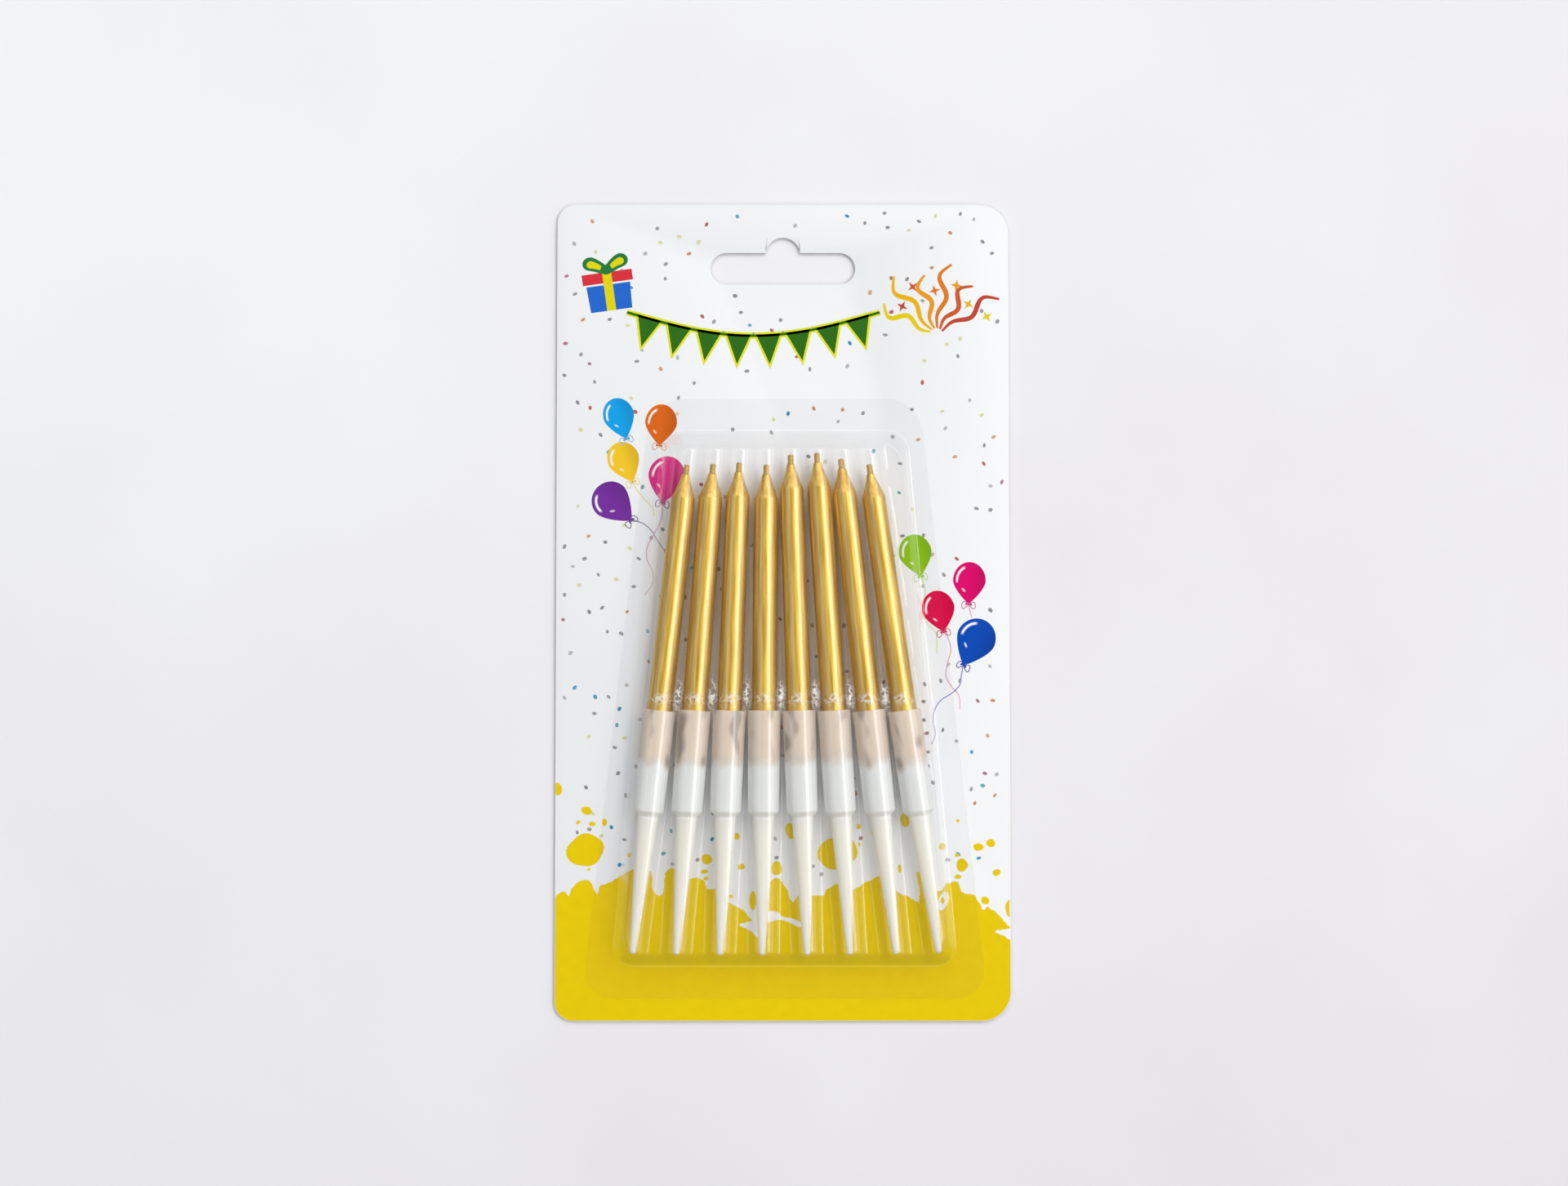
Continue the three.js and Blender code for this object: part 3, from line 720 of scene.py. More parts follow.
def candle_rings():
    """Section of one candle as [radius, height], from the bore's foot round the outside and down the bore."""
    foot, slim, neck, bore, barrel, shoulder, chamfer = in_millimetres(
        bpy.context.scene.candle_pack.candle, "radius", "top_radius", "neck", "bore", "barrel", "shoulder",
        "chamfer")
    top = barrel + shoulder
    rings = [[bore, 0.0]] + arc_points((foot - chamfer, chamfer), chamfer, -90, 0, 4)
    rings += line_points((foot, chamfer), (slim, barrel - 0.1), 12)
    for up in ((i / 24) ** 1.4 for i in range(24)):
        rings.append([mix(neck, slim, (1 - up ** 1.15) ** 1.4), barrel + shoulder * up])
    rings += [[neck, top - 0.06], [neck - 0.05, top], [bore, top], [bore, 0.0]]
    return [[a * MM, b * MM] for a, b in rings]


def holder_rings():
    """Section of one holder as [radius, height], from the spike's tip round the rim to the cup's floor."""
    holder = bpy.context.scene.candle_pack.holder
    rim, mouth, bore, foot, ledge = in_millimetres(holder, "rim", "mouth", "bore", "foot", "ledge")
    seat, inside, cup, shoulder = in_millimetres(holder, "seat", "inside", "cup", "shoulder")
    bead, proud, thick, thin, spike = in_millimetres(
        holder, "bead", "bead_proud", "spike_root", "spike_tip", "spike")
    root = -cup - shoulder
    tip = root - spike
    outer_lip, inner_lip, corner = 0.18, 0.08, 0.3
    well = bore - ledge * 1.5
    rings = [[0.0, tip]] + arc_points((0, tip + thin), thin, -75, 0, 6)
    rings += line_points((thin, tip + thin), (thick, root), 14)
    rings += [[thick + proud * math.sin(math.pi * i / 6), root + bead * i / 6] for i in range(1, 7)]
    for i in range(1, 11):
        ease = (1 - math.cos(math.pi * i / 10)) / 2
        rings.append([mix(thick, foot, ease), mix(root + bead, -cup, i / 10)])
    rings += line_points((foot, -cup), (rim, -outer_lip), 12)
    rings += arc_points((rim - outer_lip, -outer_lip), outer_lip, 0, 90, 5)[1:]
    rings += arc_points((mouth + inner_lip, -inner_lip), inner_lip, 90, 180, 3)
    rings += line_points((mouth, 0), (bore, -seat), 6)
    rings += [[bore - ledge, -seat], [well, corner - inside], [well - corner, -inside], [0.0, -inside]]
    return [[a * MM, b * MM] for a, b in rings]


def twisted_wick(name, top):
    """Three-ply cord up from the origin: a lobed ring drawn up in short steps, each turned a little further.
    They are shorter where the wick shows, and its end is drawn in."""
    candle = bpy.context.scene.candle_pack.candle
    bpy.ops.object.select_all(action="DESELECT")
    bpy.ops.mesh.primitive_circle_add(vertices=24, radius=candle.wick_radius, fill_type="NGON")
    piece = bpy.context.object
    piece.name = piece.data.name = name
    for point in piece.data.vertices:
        angle = math.atan2(point.co.y, point.co.x)
        share = 0.86 + 0.14 * abs(math.cos(1.5 * angle))
        point.co.x, point.co.y = point.co.x * share, point.co.y * share
    fine_from, fine_to = top - candle.wick_showing - 0.4 * MM, top - 0.25 * MM
    heights = [fine_from * i / 24 for i in range(25)]
    heights += [mix(fine_from, fine_to, i / 14) for i in range(1, 15)]
    begin_edit(piece, "FACE")
    for before, after in zip(heights, heights[1:]):
        rise = after - before
        bpy.ops.mesh.extrude_region_move(TRANSFORM_OT_translate={"value": (0, 0, rise)})
        bpy.ops.transform.rotate(
            value=-2 * math.pi * rise / WICK_LAY, orient_axis="Z", center_override=(0, 0, after))
    for share, rise in ((0.86, 0.12 * MM), (0.6, 0.13 * MM)):
        heights.append(heights[-1] + rise)
        bpy.ops.mesh.extrude_region_move(TRANSFORM_OT_translate={"value": (0, 0, rise)})
        bpy.ops.transform.resize(value=(share, share, 1), center_override=(0, 0, heights[-1]))
    bpy.ops.mesh.select_all(action="SELECT")
    bpy.ops.mesh.normals_make_consistent(inside=False)
    end_edit(60)
    return piece


def build_candles():
    """Models one candle and one wick and stands a copy of each on every candle's axis."""
    candle = bpy.context.scene.candle_pack.candle
    wax = turned("candle_model", candle_rings(), sides=72, smooth=24)
    wick = twisted_wick("wick_model", candle.barrel + candle.shoulder + candle.wick_showing)
    keep_own_place(wax)
    keep_own_place(wick)
    give(wax, gold_coat())
    give(wick, cotton_wick())
    for number in range(1, COUNT + 1):
        axis = candle_axis(number)
        stand = standing_at(end_middle(f"candle_{number}", axis, -1), axis)
        body = copy_at(wax, f"gold_candle_{number}", stand, number * PATTERN_STEP)
        cord = copy_at(wick, f"twisted_wick_{number}", stand, number * PATTERN_STEP)
        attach(body, f"candle_{number}")
        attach(cord, f"candle_{number}")
        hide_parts(f"candle_{number}")
        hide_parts(f"wick_{number}")
    drop(wax)
    drop(wick)


def build_holders():
    """Models one spiked holder and stands a copy of it in every holder's place."""
    model = turned("holder_model", holder_rings(), sides=72, smooth=24)
    keep_own_place(model)
    give(model, milky_plastic())
    for number in range(1, COUNT + 1):
        axis = candle_axis(number)
        rim = end_middle(f"holder_{number}", axis, 1)
        copy = copy_at(model, f"spiked_holder_{number}", standing_at(rim, axis), number * PATTERN_STEP)
        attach(copy, "pack")
        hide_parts(f"holder_{number}")
    drop(model)


# Thermoformed cover

# The cover is laid out in millimetres, Y from the middle of the card and X from the middle of the cover.
# Its flutes follow a fan: the turn from one to the next, the turn of them all, their shift and their pitch on
# the line of the holders' rims, and the point where their axes cross
FAN_STEP, FAN_TURN = math.radians(2.04), math.radians(0.88)
FAN_SHIFT, RIM_PITCH = -0.25, 7.6
FAN_RADIUS = RIM_PITCH / math.tan(FAN_STEP)
FAN_X = FAN_SHIFT - FAN_RADIUS * math.tan(FAN_TURN)
FAN_Y = RIM_LINE + FAN_RADIUS
# The flange and the pocket in it: ends, corner radii, and the lean of the walls from upright as run over rise
SEAL_SHIFT = 0.45
COVER_TOP, COVER_FOOT = FILM_HIGH.y / MM, FILM_LOW.y / MM
SEAL_HALF_FOOT = (FILM_HIGH.x - FILM_LOW.x) / 2 / MM
POCKET_TOP, POCKET_FOOT = COVER_TOP - 7.2, COVER_FOOT + 7.4
SEAL_CORNER, POCKET_CORNER = 7.2, 4.5
SIDE_DRAFT, TOP_DRAFT, FOOT_DRAFT = 0.27, 0.59, 0.4
# The ledge in front of the holders' rims, and the head of their spikes
LEDGE_LENGTH = 3.8
LEDGE_TOP = RIM_LINE + 0.7 + LEDGE_LENGTH
SPIKE_TOP = RIM_LINE - 24.2
# How widely the film is rounded in the valleys between flutes, how much wider over the spikes, and how widely
# at the edges of the decks and at the foot of the walls
VALLEY_BLEND, SPIKE_BLEND, DECK_BLEND, SEAL_BLEND = 0.35, 0.3, 1.1, 0.5
# Width of the grid's fold at each side wall, its lanes to a flute, and the film's lift off the print
WALL_FOLD = 2.3
FLUTE_LANES = 18
SEAL_LIFT = 0.035 * MM


def fan_half(y):
    """Half the distance between the first and the last flute's middles on the line y."""
    return (COUNT - 1) / 2 * math.tan(FAN_STEP) * (FAN_Y - y)


# Half a candle, or half a spike's tip, and the room beside it
POCKET_HALF_TOP = fan_half(POCKET_TOP) + 2.85 + 5.1
POCKET_HALF_FOOT = fan_half(POCKET_FOOT) + 0.75 + 3
SEAL_HALF_TOP = POCKET_HALF_TOP + 2.8


def flute_x(place, y):
    """Middle of one flute on the line y, measured from the middle of the cover."""
    angle = FAN_TURN + (place - (COUNT - 1) / 2) * FAN_STEP
    return FAN_X - SEAL_SHIFT + math.tan(angle) * (FAN_Y - y)


def ledge_share(y):
    """0 over the candles, 1 over the holders."""
    return clamp((LEDGE_TOP - y) / LEDGE_LENGTH)


def soft_min(a, b, blend):
    """Lower of two heights, with the corner between them rounded over a blend."""
    closeness = max(blend - abs(a - b), 0) / blend
    return min(a, b) - closeness * closeness * blend / 4


def soft_max(a, b, blend):
    """Higher of two heights, rounded the same way."""
    return -soft_min(-a, -b, blend)


def corner_cut(radius, distance):
    """How much a rounded corner takes off each half width, at a distance in from the end."""
    inside = max(radius - distance, 0)
    return radius - math.sqrt(max(radius ** 2 - inside ** 2, 0))


def half_widths(y):
    """Half widths of the pocket's foot and of the flange on the line y, before their corners."""
    pocket = mix(POCKET_HALF_TOP, POCKET_HALF_FOOT, (POCKET_TOP - y) / (POCKET_TOP - POCKET_FOOT))
    seal = mix(SEAL_HALF_TOP, SEAL_HALF_FOOT, (COVER_TOP - y) / (COVER_TOP - COVER_FOOT))
    return pocket + 0.4 * ledge_share(y), seal


def wall_rise(x, y):
    """Height over the flange of the pocket's sloping walls. The corner keeps one radius all the way up."""
    side = half_widths(y)[0] - abs(x)
    top, foot = POCKET_TOP - y, y - POCKET_FOOT
    end, draft = (top, TOP_DRAFT) if top < foot else (foot, FOOT_DRAFT)
    a, b = POCKET_CORNER - side, POCKET_CORNER - end
    lean = a * SIDE_DRAFT + b * draft
    steep = SIDE_DRAFT ** 2 + draft ** 2
    corner = (math.sqrt(max(lean ** 2 - steep * (a * a + b * b - POCKET_CORNER ** 2), 0)) - lean) / steep
    if a + corner * SIDE_DRAFT > 0 and b + corner * draft > 0:
        return corner
    return min(side / SIDE_DRAFT, end / draft)


def drawn_wall_and_shade(x, y):
    """How far a point lies on the walls that were drawn down, weighted most at the foot and least at the
    sides so that the film paints the shade along its foot wall.
    """
    rise = wall_rise(x, y)
    on_wall = clamp((rise + 0.6) / 1.2) * clamp((8.4 - rise) / 2.4)
    side = half_widths(y)[0] - abs(x)
    foot_shade_weight = clamp((side - (y - POCKET_FOOT) + 1) / 3) if y - POCKET_FOOT < 4 else 0
    return on_wall * mix(0.25, 1.0, foot_shade_weight)


def crease(x, y):
    """Wrinkles that the film keeps where the mould creased it, as height in millimetres and as the share of
    white
     painted on them as highlight: a squiggle in each valley at the ledge, a small fan on each flute, and
         ripples on the top wall."""
    rise = crease_glint = 0.0
    for place in range(COUNT):
        across = x - flute_x(place, y)
        if abs(across) < 3.5:
            fan = math.exp(-((y - LEDGE_TOP + 2.0) / 1.0) ** 2 - (across / 1.9) ** 2)
            folds = math.sin(4.2 * across + 1.3 * place) * math.sin(3.1 * (y - LEDGE_TOP) + place)
            rise += 0.05 * fan * folds
            crease_glint = max(crease_glint, 0.55 * fan)
        beside = x - (flute_x(place, y) + flute_x(place - 1, y)) / 2
        if place and abs(beside) < 1.5:
            valley = math.exp(-((y - LEDGE_TOP + 1.4) / 2.4) ** 2 - (beside / 0.6) ** 2)
            rise += 0.14 * valley * math.sin(5.2 * y + 2.5 * place + 2.0 * beside)
            crease_glint = max(crease_glint, valley)
    wall = math.exp(-((y - POCKET_TOP + 1.6) / 1.6) ** 2)
    rise += 0.05 * wall * math.sin(4.4 * y + 0.9 * math.sin(0.23 * x))
    return rise, crease_glint


def film_rise(x, y, film):
    """Height of the film's outer face above the card at a point, measured from the middle of the cover."""
    share = ledge_share(y)
    share = share ** 2 * (3 - 2 * share)
    below = clamp((SPIKE_TOP - y) / (SPIKE_TOP - POCKET_FOOT))
    radius = mix(mix(film.candle_radius, film.rim_radius, share), film.spike_radius, below) / MM
    shallow = clamp((SPIKE_TOP + 5 - y) / 12)
    roof = mix(mix(film.candle_deck, film.rim_deck, share), film.spike_deck, shallow) / MM
    for place in range(COUNT):
        across = abs(x - flute_x(place, y))
        if across < radius:
            arch = film.axis_rise / MM + math.sqrt(radius ** 2 - across ** 2)
            roof = soft_max(roof, arch, VALLEY_BLEND + SPIKE_BLEND * shallow)
    flange = film.thickness / MM
    rise = soft_min(roof, flange + wall_rise(x, y), DECK_BLEND)
    return max(soft_max(rise, flange, SEAL_BLEND), flange)


def cover_rows():
    """Lines across the cover from top to foot, close together where the film bends. Each stop is a line and
    the pitch of the lines below it."""
    stops = [
        (COVER_TOP, 0.2), (COVER_TOP - 1.2, 0.8), (POCKET_TOP + 0.6, 0.2), (POCKET_TOP - 5.4, 1.0),
        (LEDGE_TOP + 3.4, 0.17), (LEDGE_TOP - 5.2, 1.0), (POCKET_FOOT + 4.6, 0.2), (POCKET_FOOT - 0.6, 0.8),
        (COVER_FOOT + 1.2, 0.2), (COVER_FOOT, 1.0),
    ]
    rows = []
    for (start, pitch), (end, _) in zip(stops, stops[1:]):
        steps = max(1, round((start - end) / pitch))
        rows += [mix(start, end, i / steps) for i in range(steps)]
    return rows + [COVER_FOOT]


def cover_columns(y):
    """Places across the cover on one line: flange, side wall, flutes, side wall, flange. Across a flute they
    stand closer together towards its valleys."""
    pocket, seal = half_widths(y)
    seal -= corner_cut(SEAL_CORNER, min(COVER_TOP - y, y - COVER_FOOT))
    pocket -= 0.8 * corner_cut(POCKET_CORNER, max(min(POCKET_TOP - y, y - POCKET_FOOT), 0))
    pocket = min(pocket, seal - 0.5)
    edge = pocket - WALL_FOLD
    left = [-seal] + [mix(-seal + 0.12, -pocket - 0.5, i / 4) for i in range(5)]
    left += [mix(-pocket - 0.5, -edge, i / 12) for i in range(1, 13)]
    middles = [flute_x(place, y) for place in range(COUNT)]
    valleys = [(a + b) / 2 for a, b in zip(middles, middles[1:])]
    inner = []
    for start, end in zip([-edge] + valleys, valleys + [edge]):
        start, end = (clamp(x, 0.01 - edge, edge - 0.01) for x in (start, end))
        for share in (i / FLUTE_LANES for i in range(1, FLUTE_LANES + 1)):
            inner.append(mix(start, end, share - 0.09 * math.sin(2 * math.pi * share)))
    return left + inner + [-x for x in reversed(left)]


def build_film():
    """Draws a fine grid down over the candles and the pocket as the sheet is drawn over its mould, then gives
    it its thickness."""
    film = bpy.context.scene.candle_pack.film
    rows = cover_rows()
    lanes = [cover_columns(y) for y in rows]
    across = len(lanes[0])
    bpy.ops.object.select_all(action="DESELECT")
    bpy.ops.mesh.primitive_grid_add(x_subdivisions=across - 1, y_subdivisions=len(rows) - 1, size=1)
    sheet = bpy.context.object
    sheet.name = sheet.data.name = "blister_film"
    # Per point: the white of the creases' painted highlight, and how far it lies on the drawn walls, which
    # carry haze and painted shade
    for name in ("crease", "drawn"):
        sheet.data.attributes.new(name, "FLOAT", "POINT")
    glint_white, drawn = sheet.data.attributes["crease"].data, sheet.data.attributes["drawn"].data
    for index, point in enumerate(sheet.data.vertices):
        row = len(rows) - 1 - index // across
        x, y = lanes[row][index % across], rows[row]
        rise = film_rise(x, y, film)
        if rise > 1:
            wrinkle, glint_white[index].value = crease(x, y)
            rise += wrinkle
        drawn[index].value = drawn_wall_and_shade(x, y)
        point.co = ((x + SEAL_SHIFT) * MM, y * MM, CARD_TOP + SEAL_LIFT + rise * MM)
    sheet.data.update()
    apply_modifier(sheet, "SOLIDIFY", thickness=film.thickness, offset=-1, use_even_offset=True)
    for point in sheet.data.vertices:
        point.co.z = clamp(point.co.z, CARD_TOP + SEAL_LIFT, FILM_HIGH.z)
    begin_edit(sheet)
    end_edit(50)
    give(sheet, clear_film())
    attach(sheet, "pack")
    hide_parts("blister_cover")


# Print

# Height in metres of the lowest ink over the board, and of each layer over the last. Half layers lie between
INK_RISE = 0.008 * MM
INK_STEP = 0.003 * MM
# Width of board, in millimetres, that the print leaves free along the cut edge
PRINT_INSET = 0.1


def flat_shape(name, outline, ink, layer=0, rounded=True, steps=3):
    """Printed shape: a closed flat curve through [x, y] points in millimetres, turned into a mesh. It is
    rounded or sharp at the points, and has so many steps from one to the next."""
    bpy.ops.object.select_all(action="DESELECT")
    bpy.ops.curve.primitive_bezier_curve_add()
    shape = bpy.context.object
    curve = shape.data
    curve.dimensions = "2D"
    curve.fill_mode = "BOTH"
    curve.resolution_u = steps
    spline = curve.splines[0]
    spline.bezier_points.add(len(outline) - len(spline.bezier_points))
    for point, (x, y) in zip(spline.bezier_points, outline):
        point.co = (x * MM, y * MM, 0)
        point.handle_left_type = point.handle_right_type = "AUTO" if rounded else "VECTOR"
    spline.use_cyclic_u = True
    bpy.ops.object.convert(target="MESH")
    shape = bpy.context.object
    shape.name = shape.data.name = name
    return settle(shape, ink, layer)


def settle(shape, ink, layer):
    """Lays a printed shape on the card, its face up, and gives it its ink."""
    z = CARD_TOP + INK_RISE + layer * INK_STEP
    for point in shape.data.vertices:
        point.co.z = z
    if shape.data.polygons and shape.data.polygons[0].normal.z < 0:
        shape.data.flip_normals()
    paint = shape.data.color_attributes.new("ink", "FLOAT_COLOR", "POINT")
    for value in paint.data:
        value.color = ink
    return shape


def stroke(name, path, widths, ink, layer):
    """Printed line of changing width through [x, y] points in millimetres."""
    run = [path[0]] + smooth_run(path, 6)
    left, right = [], []
    for i, (x, y) in enumerate(run):
        ahead, behind = run[min(i + 1, len(run) - 1)], run[max(i - 1, 0)]
        dx, dy = ahead[0] - behind[0], ahead[1] - behind[1]
        size = math.hypot(dx, dy) or 1
        share = i / (len(run) - 1) * (len(widths) - 1)
        low = min(int(share), len(widths) - 2)
        half = mix(widths[low], widths[low + 1], share - low) / 2
        left.append([x - dy / size * half, y + dx / size * half])
        right.append([x + dy / size * half, y - dx / size * half])
    bpy.ops.object.select_all(action="DESELECT")
    bpy.ops.mesh.primitive_grid_add(x_subdivisions=len(run) - 1, y_subdivisions=1, size=1)
    line = bpy.context.object
    line.name = line.data.name = name
    for point, (x, y) in zip(line.data.vertices, right + left):
        point.co = (x * MM, y * MM, 0)
    line.data.update()
    return settle(line, ink, layer)


def join_print(name, shapes, material):
    """Joins printed shapes into one piece and lays it on the card."""
    only(*shapes)
    bpy.ops.object.join()
    piece = bpy.context.object
    piece.name = piece.data.name = name
    give(piece, material)
    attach(piece, "pack")


def on_card(x, y):
    """Millimetres on the card of a point in the photograph's frame."""
    return [(x - MIDDLE_X) * PIXEL, (MIDDLE_Y - y) * PIXEL]


# Balloons in the photograph's frame: middle, half width, half height, from the middle to the knot, ink
BALLOONS = [
    ((757, 508), 19, 22, (9, 27), "#10A0E6"),
    ((809, 517), 19.5, 23, (-2, 26), "#E0690C"),
    ((763, 562), 19.5, 22, (11, 26), "#F2C628"),
    ((816, 583), 22.5, 25, (-5, 31), "#DC2F86"),
    ((747, 612), 23.5, 22.5, (25, 24), "#74309A"),
    ((1121, 677), 20, 23, (6, 27), "#8FC400"),
    ((1187, 711), 20, 23, (-1, 27), "#DC006A"),
    ((1149, 746), 20, 23, (6, 26), "#DC0048"),
    ((1195, 782), 24, 25, (-15, 31), "#0449B4"),
]
# Inks of the bows tied at the knots, in the same order
BOW_INKS = (
    "#A9B9D0", "#E3B08E", "#E6D79A", "#8A6F92", "#6E6689", "#C3D58C", "#C7779C", "#C9627E", "#3F4F9C")
# Strings: which balloon, then the way down in the photograph's frame, then the ink
STRINGS = [
    (3, ((774, 590), (780, 600), (790, 612), (799, 622), (801, 632)), "#E9DDB0"),
    (4, ((811, 616), (810, 634), (803, 650), (793, 668), (792, 684), (799, 700), (799, 714), (790, 728)),
     "#DDAFC4"),
    (5, ((773, 637), (786, 640), (797, 649), (804, 660), (812, 672), (818, 680)), "#A49BB4"),
    (6, ((1127, 706), (1133, 722), (1130, 748), (1136, 764), (1146, 776), (1147, 800)), "#D5DEA6"),
    (7, ((1186, 740), (1188, 750), (1190, 756)), "#E0A9C2"),
    (8, ((1156, 774), (1161, 782), (1164, 796), (1160, 812), (1158, 828), (1166, 842), (1174, 852),
         (1175, 868)), "#E3A9BE"),
    (9, ((1179, 815), (1177, 826), (1175, 838), (1166, 848), (1152, 857), (1144, 869), (1142, 884),
         (1145, 898), (1140, 911)), "#9793CB"),
]
# Outline of a knot's frayed end, in millimetres from its middle
KNOT = [(-0.35, 0.25), (0.35, 0.25), (0.95, -0.85), (0.2, -0.55), (0.0, -0.8), (-0.25, -0.5), (-0.95, -0.75)]


def balloon_body(index, middle, half, reach, turn, ink):
    """Balloon outline: round above, drawn in to its knot, with its own UV map for the printed shine."""
    outline = []
    for angle in (2 * math.pi * step / 36 for step in range(36)):
        up = math.cos(angle)
        slim = 1 - 0.55 * max(-up, 0) ** 1.5
        beside = half.x * math.sin(angle) * slim if up > -0.995 else 0.0
        outline.append(turn @ Vector((beside, (half.y if up > 0 else reach) * up)) + middle)
    shape = flat_shape(f"balloon_{index}", outline, ink, layer=3)
    uv = shape.data.uv_layers.new(name="balloon")
    back = turn.inverted()
    for loop in shape.data.loops:
        own = back @ (shape.data.vertices[loop.vertex_index].co.xy / MM - middle)
        uv.data[loop.index].uv = (own.x / half.x, own.y / half.y)
    return shape


def balloon(index, middle, half_width, half_height, knot, ink, bow_ink):
    """One balloon, and the knot and the bow at its foot."""
    middle, half = Vector(on_card(*middle)), Vector((half_width, half_height)) * PIXEL
    turn, reach = Matrix.Rotation(math.atan2(*knot), 2), math.hypot(*knot) * PIXEL
    body = balloon_body(index, middle, half, reach, turn, linear(ink))
    tail = turn @ Vector((0, -reach)) + middle
    knot_end = [turn @ (Vector(point) * 0.75) + tail for point in KNOT]
    tied = flat_shape(f"knot_{index}", knot_end, linear(ink), layer=2)
    loops = []
    for angle in (2 * math.pi * step / 16 for step in range(17)):
        loop = Vector((1.5 * math.sin(angle), 0.75 * math.sin(2 * angle) - 0.35 * abs(math.sin(angle))))
        loops.append(turn @ loop + tail + Vector((0, -0.3)))
    bow = stroke(f"bow_{index}", loops, (0.2, 0.2), linear(bow_ink), layer=4)
    return body, [tied, bow]


def build_balloons():
    """Prints the balloons, their knots and bows, and their strings."""
    bodies, lines = [], []
    for index, (sizes, bow_ink) in enumerate(zip(BALLOONS, BOW_INKS), 1):
        body, ends = balloon(index, *sizes, bow_ink)
        bodies.append(body)
        lines += ends
    for index, path, ink in STRINGS:
        way = [on_card(*point) for point in path]
        lines.append(stroke(f"string_{index}", way, (0.3, 0.24, 0.2), linear(ink), layer=1))
    join_print("print_balloons", bodies, balloon_ink())
    join_print("print_strings", lines, offset_ink())


# Upper edge of the band of paint from left to right, in the photograph's frame
SPLASH_EDGE = [
    (676.4, 1104), (684, 1094), (692, 1090), (698, 1095), (703, 1084), (712, 1077), (722, 1077), (728, 1085),
    (732, 1094), (736, 1084), (748, 1079), (760, 1072), (772, 1065), (786, 1062), (797, 1066), (801, 1088),
    (812, 1094), (816, 1066), (828, 1064), (836, 1078), (848, 1074), (858, 1074), (864, 1080), (866, 1087),
    (878, 1088), (886, 1098), (895, 1105), (902, 1108), (910, 1113), (918, 1121), (920, 1126), (905, 1130),
    (913, 1135), (922, 1140), (930, 1146), (936, 1142), (930, 1120), (935, 1092), (942, 1080), (951, 1074),
    (958, 1078), (964, 1088), (969, 1101), (973, 1101), (978, 1095), (988, 1094), (996, 1095), (1009, 1095),
    (1011, 1089), (1018, 1084), (1026, 1081), (1036, 1089), (1045, 1088), (1056, 1081), (1066, 1076),
    (1080, 1070), (1090, 1082), (1103, 1093), (1110, 1095), (1118, 1100), (1125, 1103), (1124, 1080),
    (1122, 1066), (1130, 1072), (1140, 1088), (1150, 1090), (1153, 1086), (1158, 1081), (1166, 1078),
    (1173, 1080), (1178, 1092), (1190, 1093), (1195, 1099), (1202, 1112), (1208, 1109), (1216, 1114),
    (1224, 1121), (1232, 1130), (1236, 1134), (1226, 1136), (1217, 1138), (1228, 1144), (1240.3, 1152),
]
# White cuts in the band, where the brush ran dry
SPLASH_CUTS = [
    [(938, 1116), (954, 1116), (957, 1120), (971, 1123), (982, 1131), (980, 1133), (968, 1128), (954, 1124),
     (938, 1126)],
    [(1149, 1112), (1151, 1094), (1157, 1090), (1161, 1098), (1157, 1108), (1152, 1113)],
]
# Drops of paint in the photograph's frame: middle, half width, half height, turn in degrees
DROPS = [
    (718, 1040, 24, 20, 18), (683, 965, 6, 8, 0), (719, 992, 6.5, 5, -20), (726, 1008, 4, 3, 0),
    (741, 1006, 3, 4.5, 5), (709, 1006, 3, 2, 40), (1026, 1042, 24.5, 19.5, 20), (866, 1051, 6, 6.5, 10),
    (863, 1066, 4.5, 2.5, 0), (865, 1074, 3, 2.6, 0), (902, 1023, 3.8, 3.8, 0), (908, 1060, 4.4, 3.8, 20),
    (951, 1062, 6.5, 8.5, 0), (968, 1017, 6, 10, 20), (922, 1101, 4.5, 12, 0), (895, 1096, 2.5, 2.2, 0),
    (1051, 1011, 3, 3.4, 0), (1070, 1017, 3, 5, 0), (1052, 1033, 1.6, 2.4, 0), (1108, 1003, 6, 9, 0),
    (1101, 1062, 2, 5, 0), (1153, 1035, 4, 4.5, 0), (1171, 1046, 2.8, 2, 0), (1177, 1058, 7, 7.5, 0),
    (1172, 1072, 4.5, 2.5, 0), (1172, 1004, 2, 2, 0), (1153, 1101, 2.4, 4, 0), (1197, 1036, 6, 4.5, 0),
    (1212, 1031, 5.5, 5, -15), (1219, 1067, 5, 4, 25), (1205, 1101, 5, 4.5, -30), (1235, 1110, 5, 10, 0),
    (771, 1046, 2.4, 2.6, 0), (722, 1063, 2, 1.6, 0),
]


def print_sides():
    """Left and right limit of the print."""
    return CARD_LOW.x / MM + PRINT_INSET, CARD_HIGH.x / MM - PRINT_INSET


def rim_of_card():
    """Points round the foot of the card, just inside its edge, from lower right to lower left."""
    card = bpy.context.scene.candle_pack.card
    (left, right), foot = print_sides(), CARD_LOW.y / MM + PRINT_INSET
    a, b = card.corner_right / MM - PRINT_INSET, card.corner_left / MM - PRINT_INSET
    points = arc_points((right - a, foot + a), a, 0, -90, 12)
    return points + arc_points((left + b, foot + b), b, -90, -180, 12)


def ragged(points, step, reach):
    """The same run with a point at every step, each pushed a little aside, as the edge of thrown paint is."""
    rng = random.Random(SEED)
    run = [points[0]]
    for (x, y), (end_x, end_y) in zip(points, points[1:]):
        count = max(1, round(math.hypot(end_x - x, end_y - y) / step))
        for point in line_points((x, y), (end_x, end_y), count):
            run.append([value + rng.uniform(-reach, reach) for value in point])
    return run


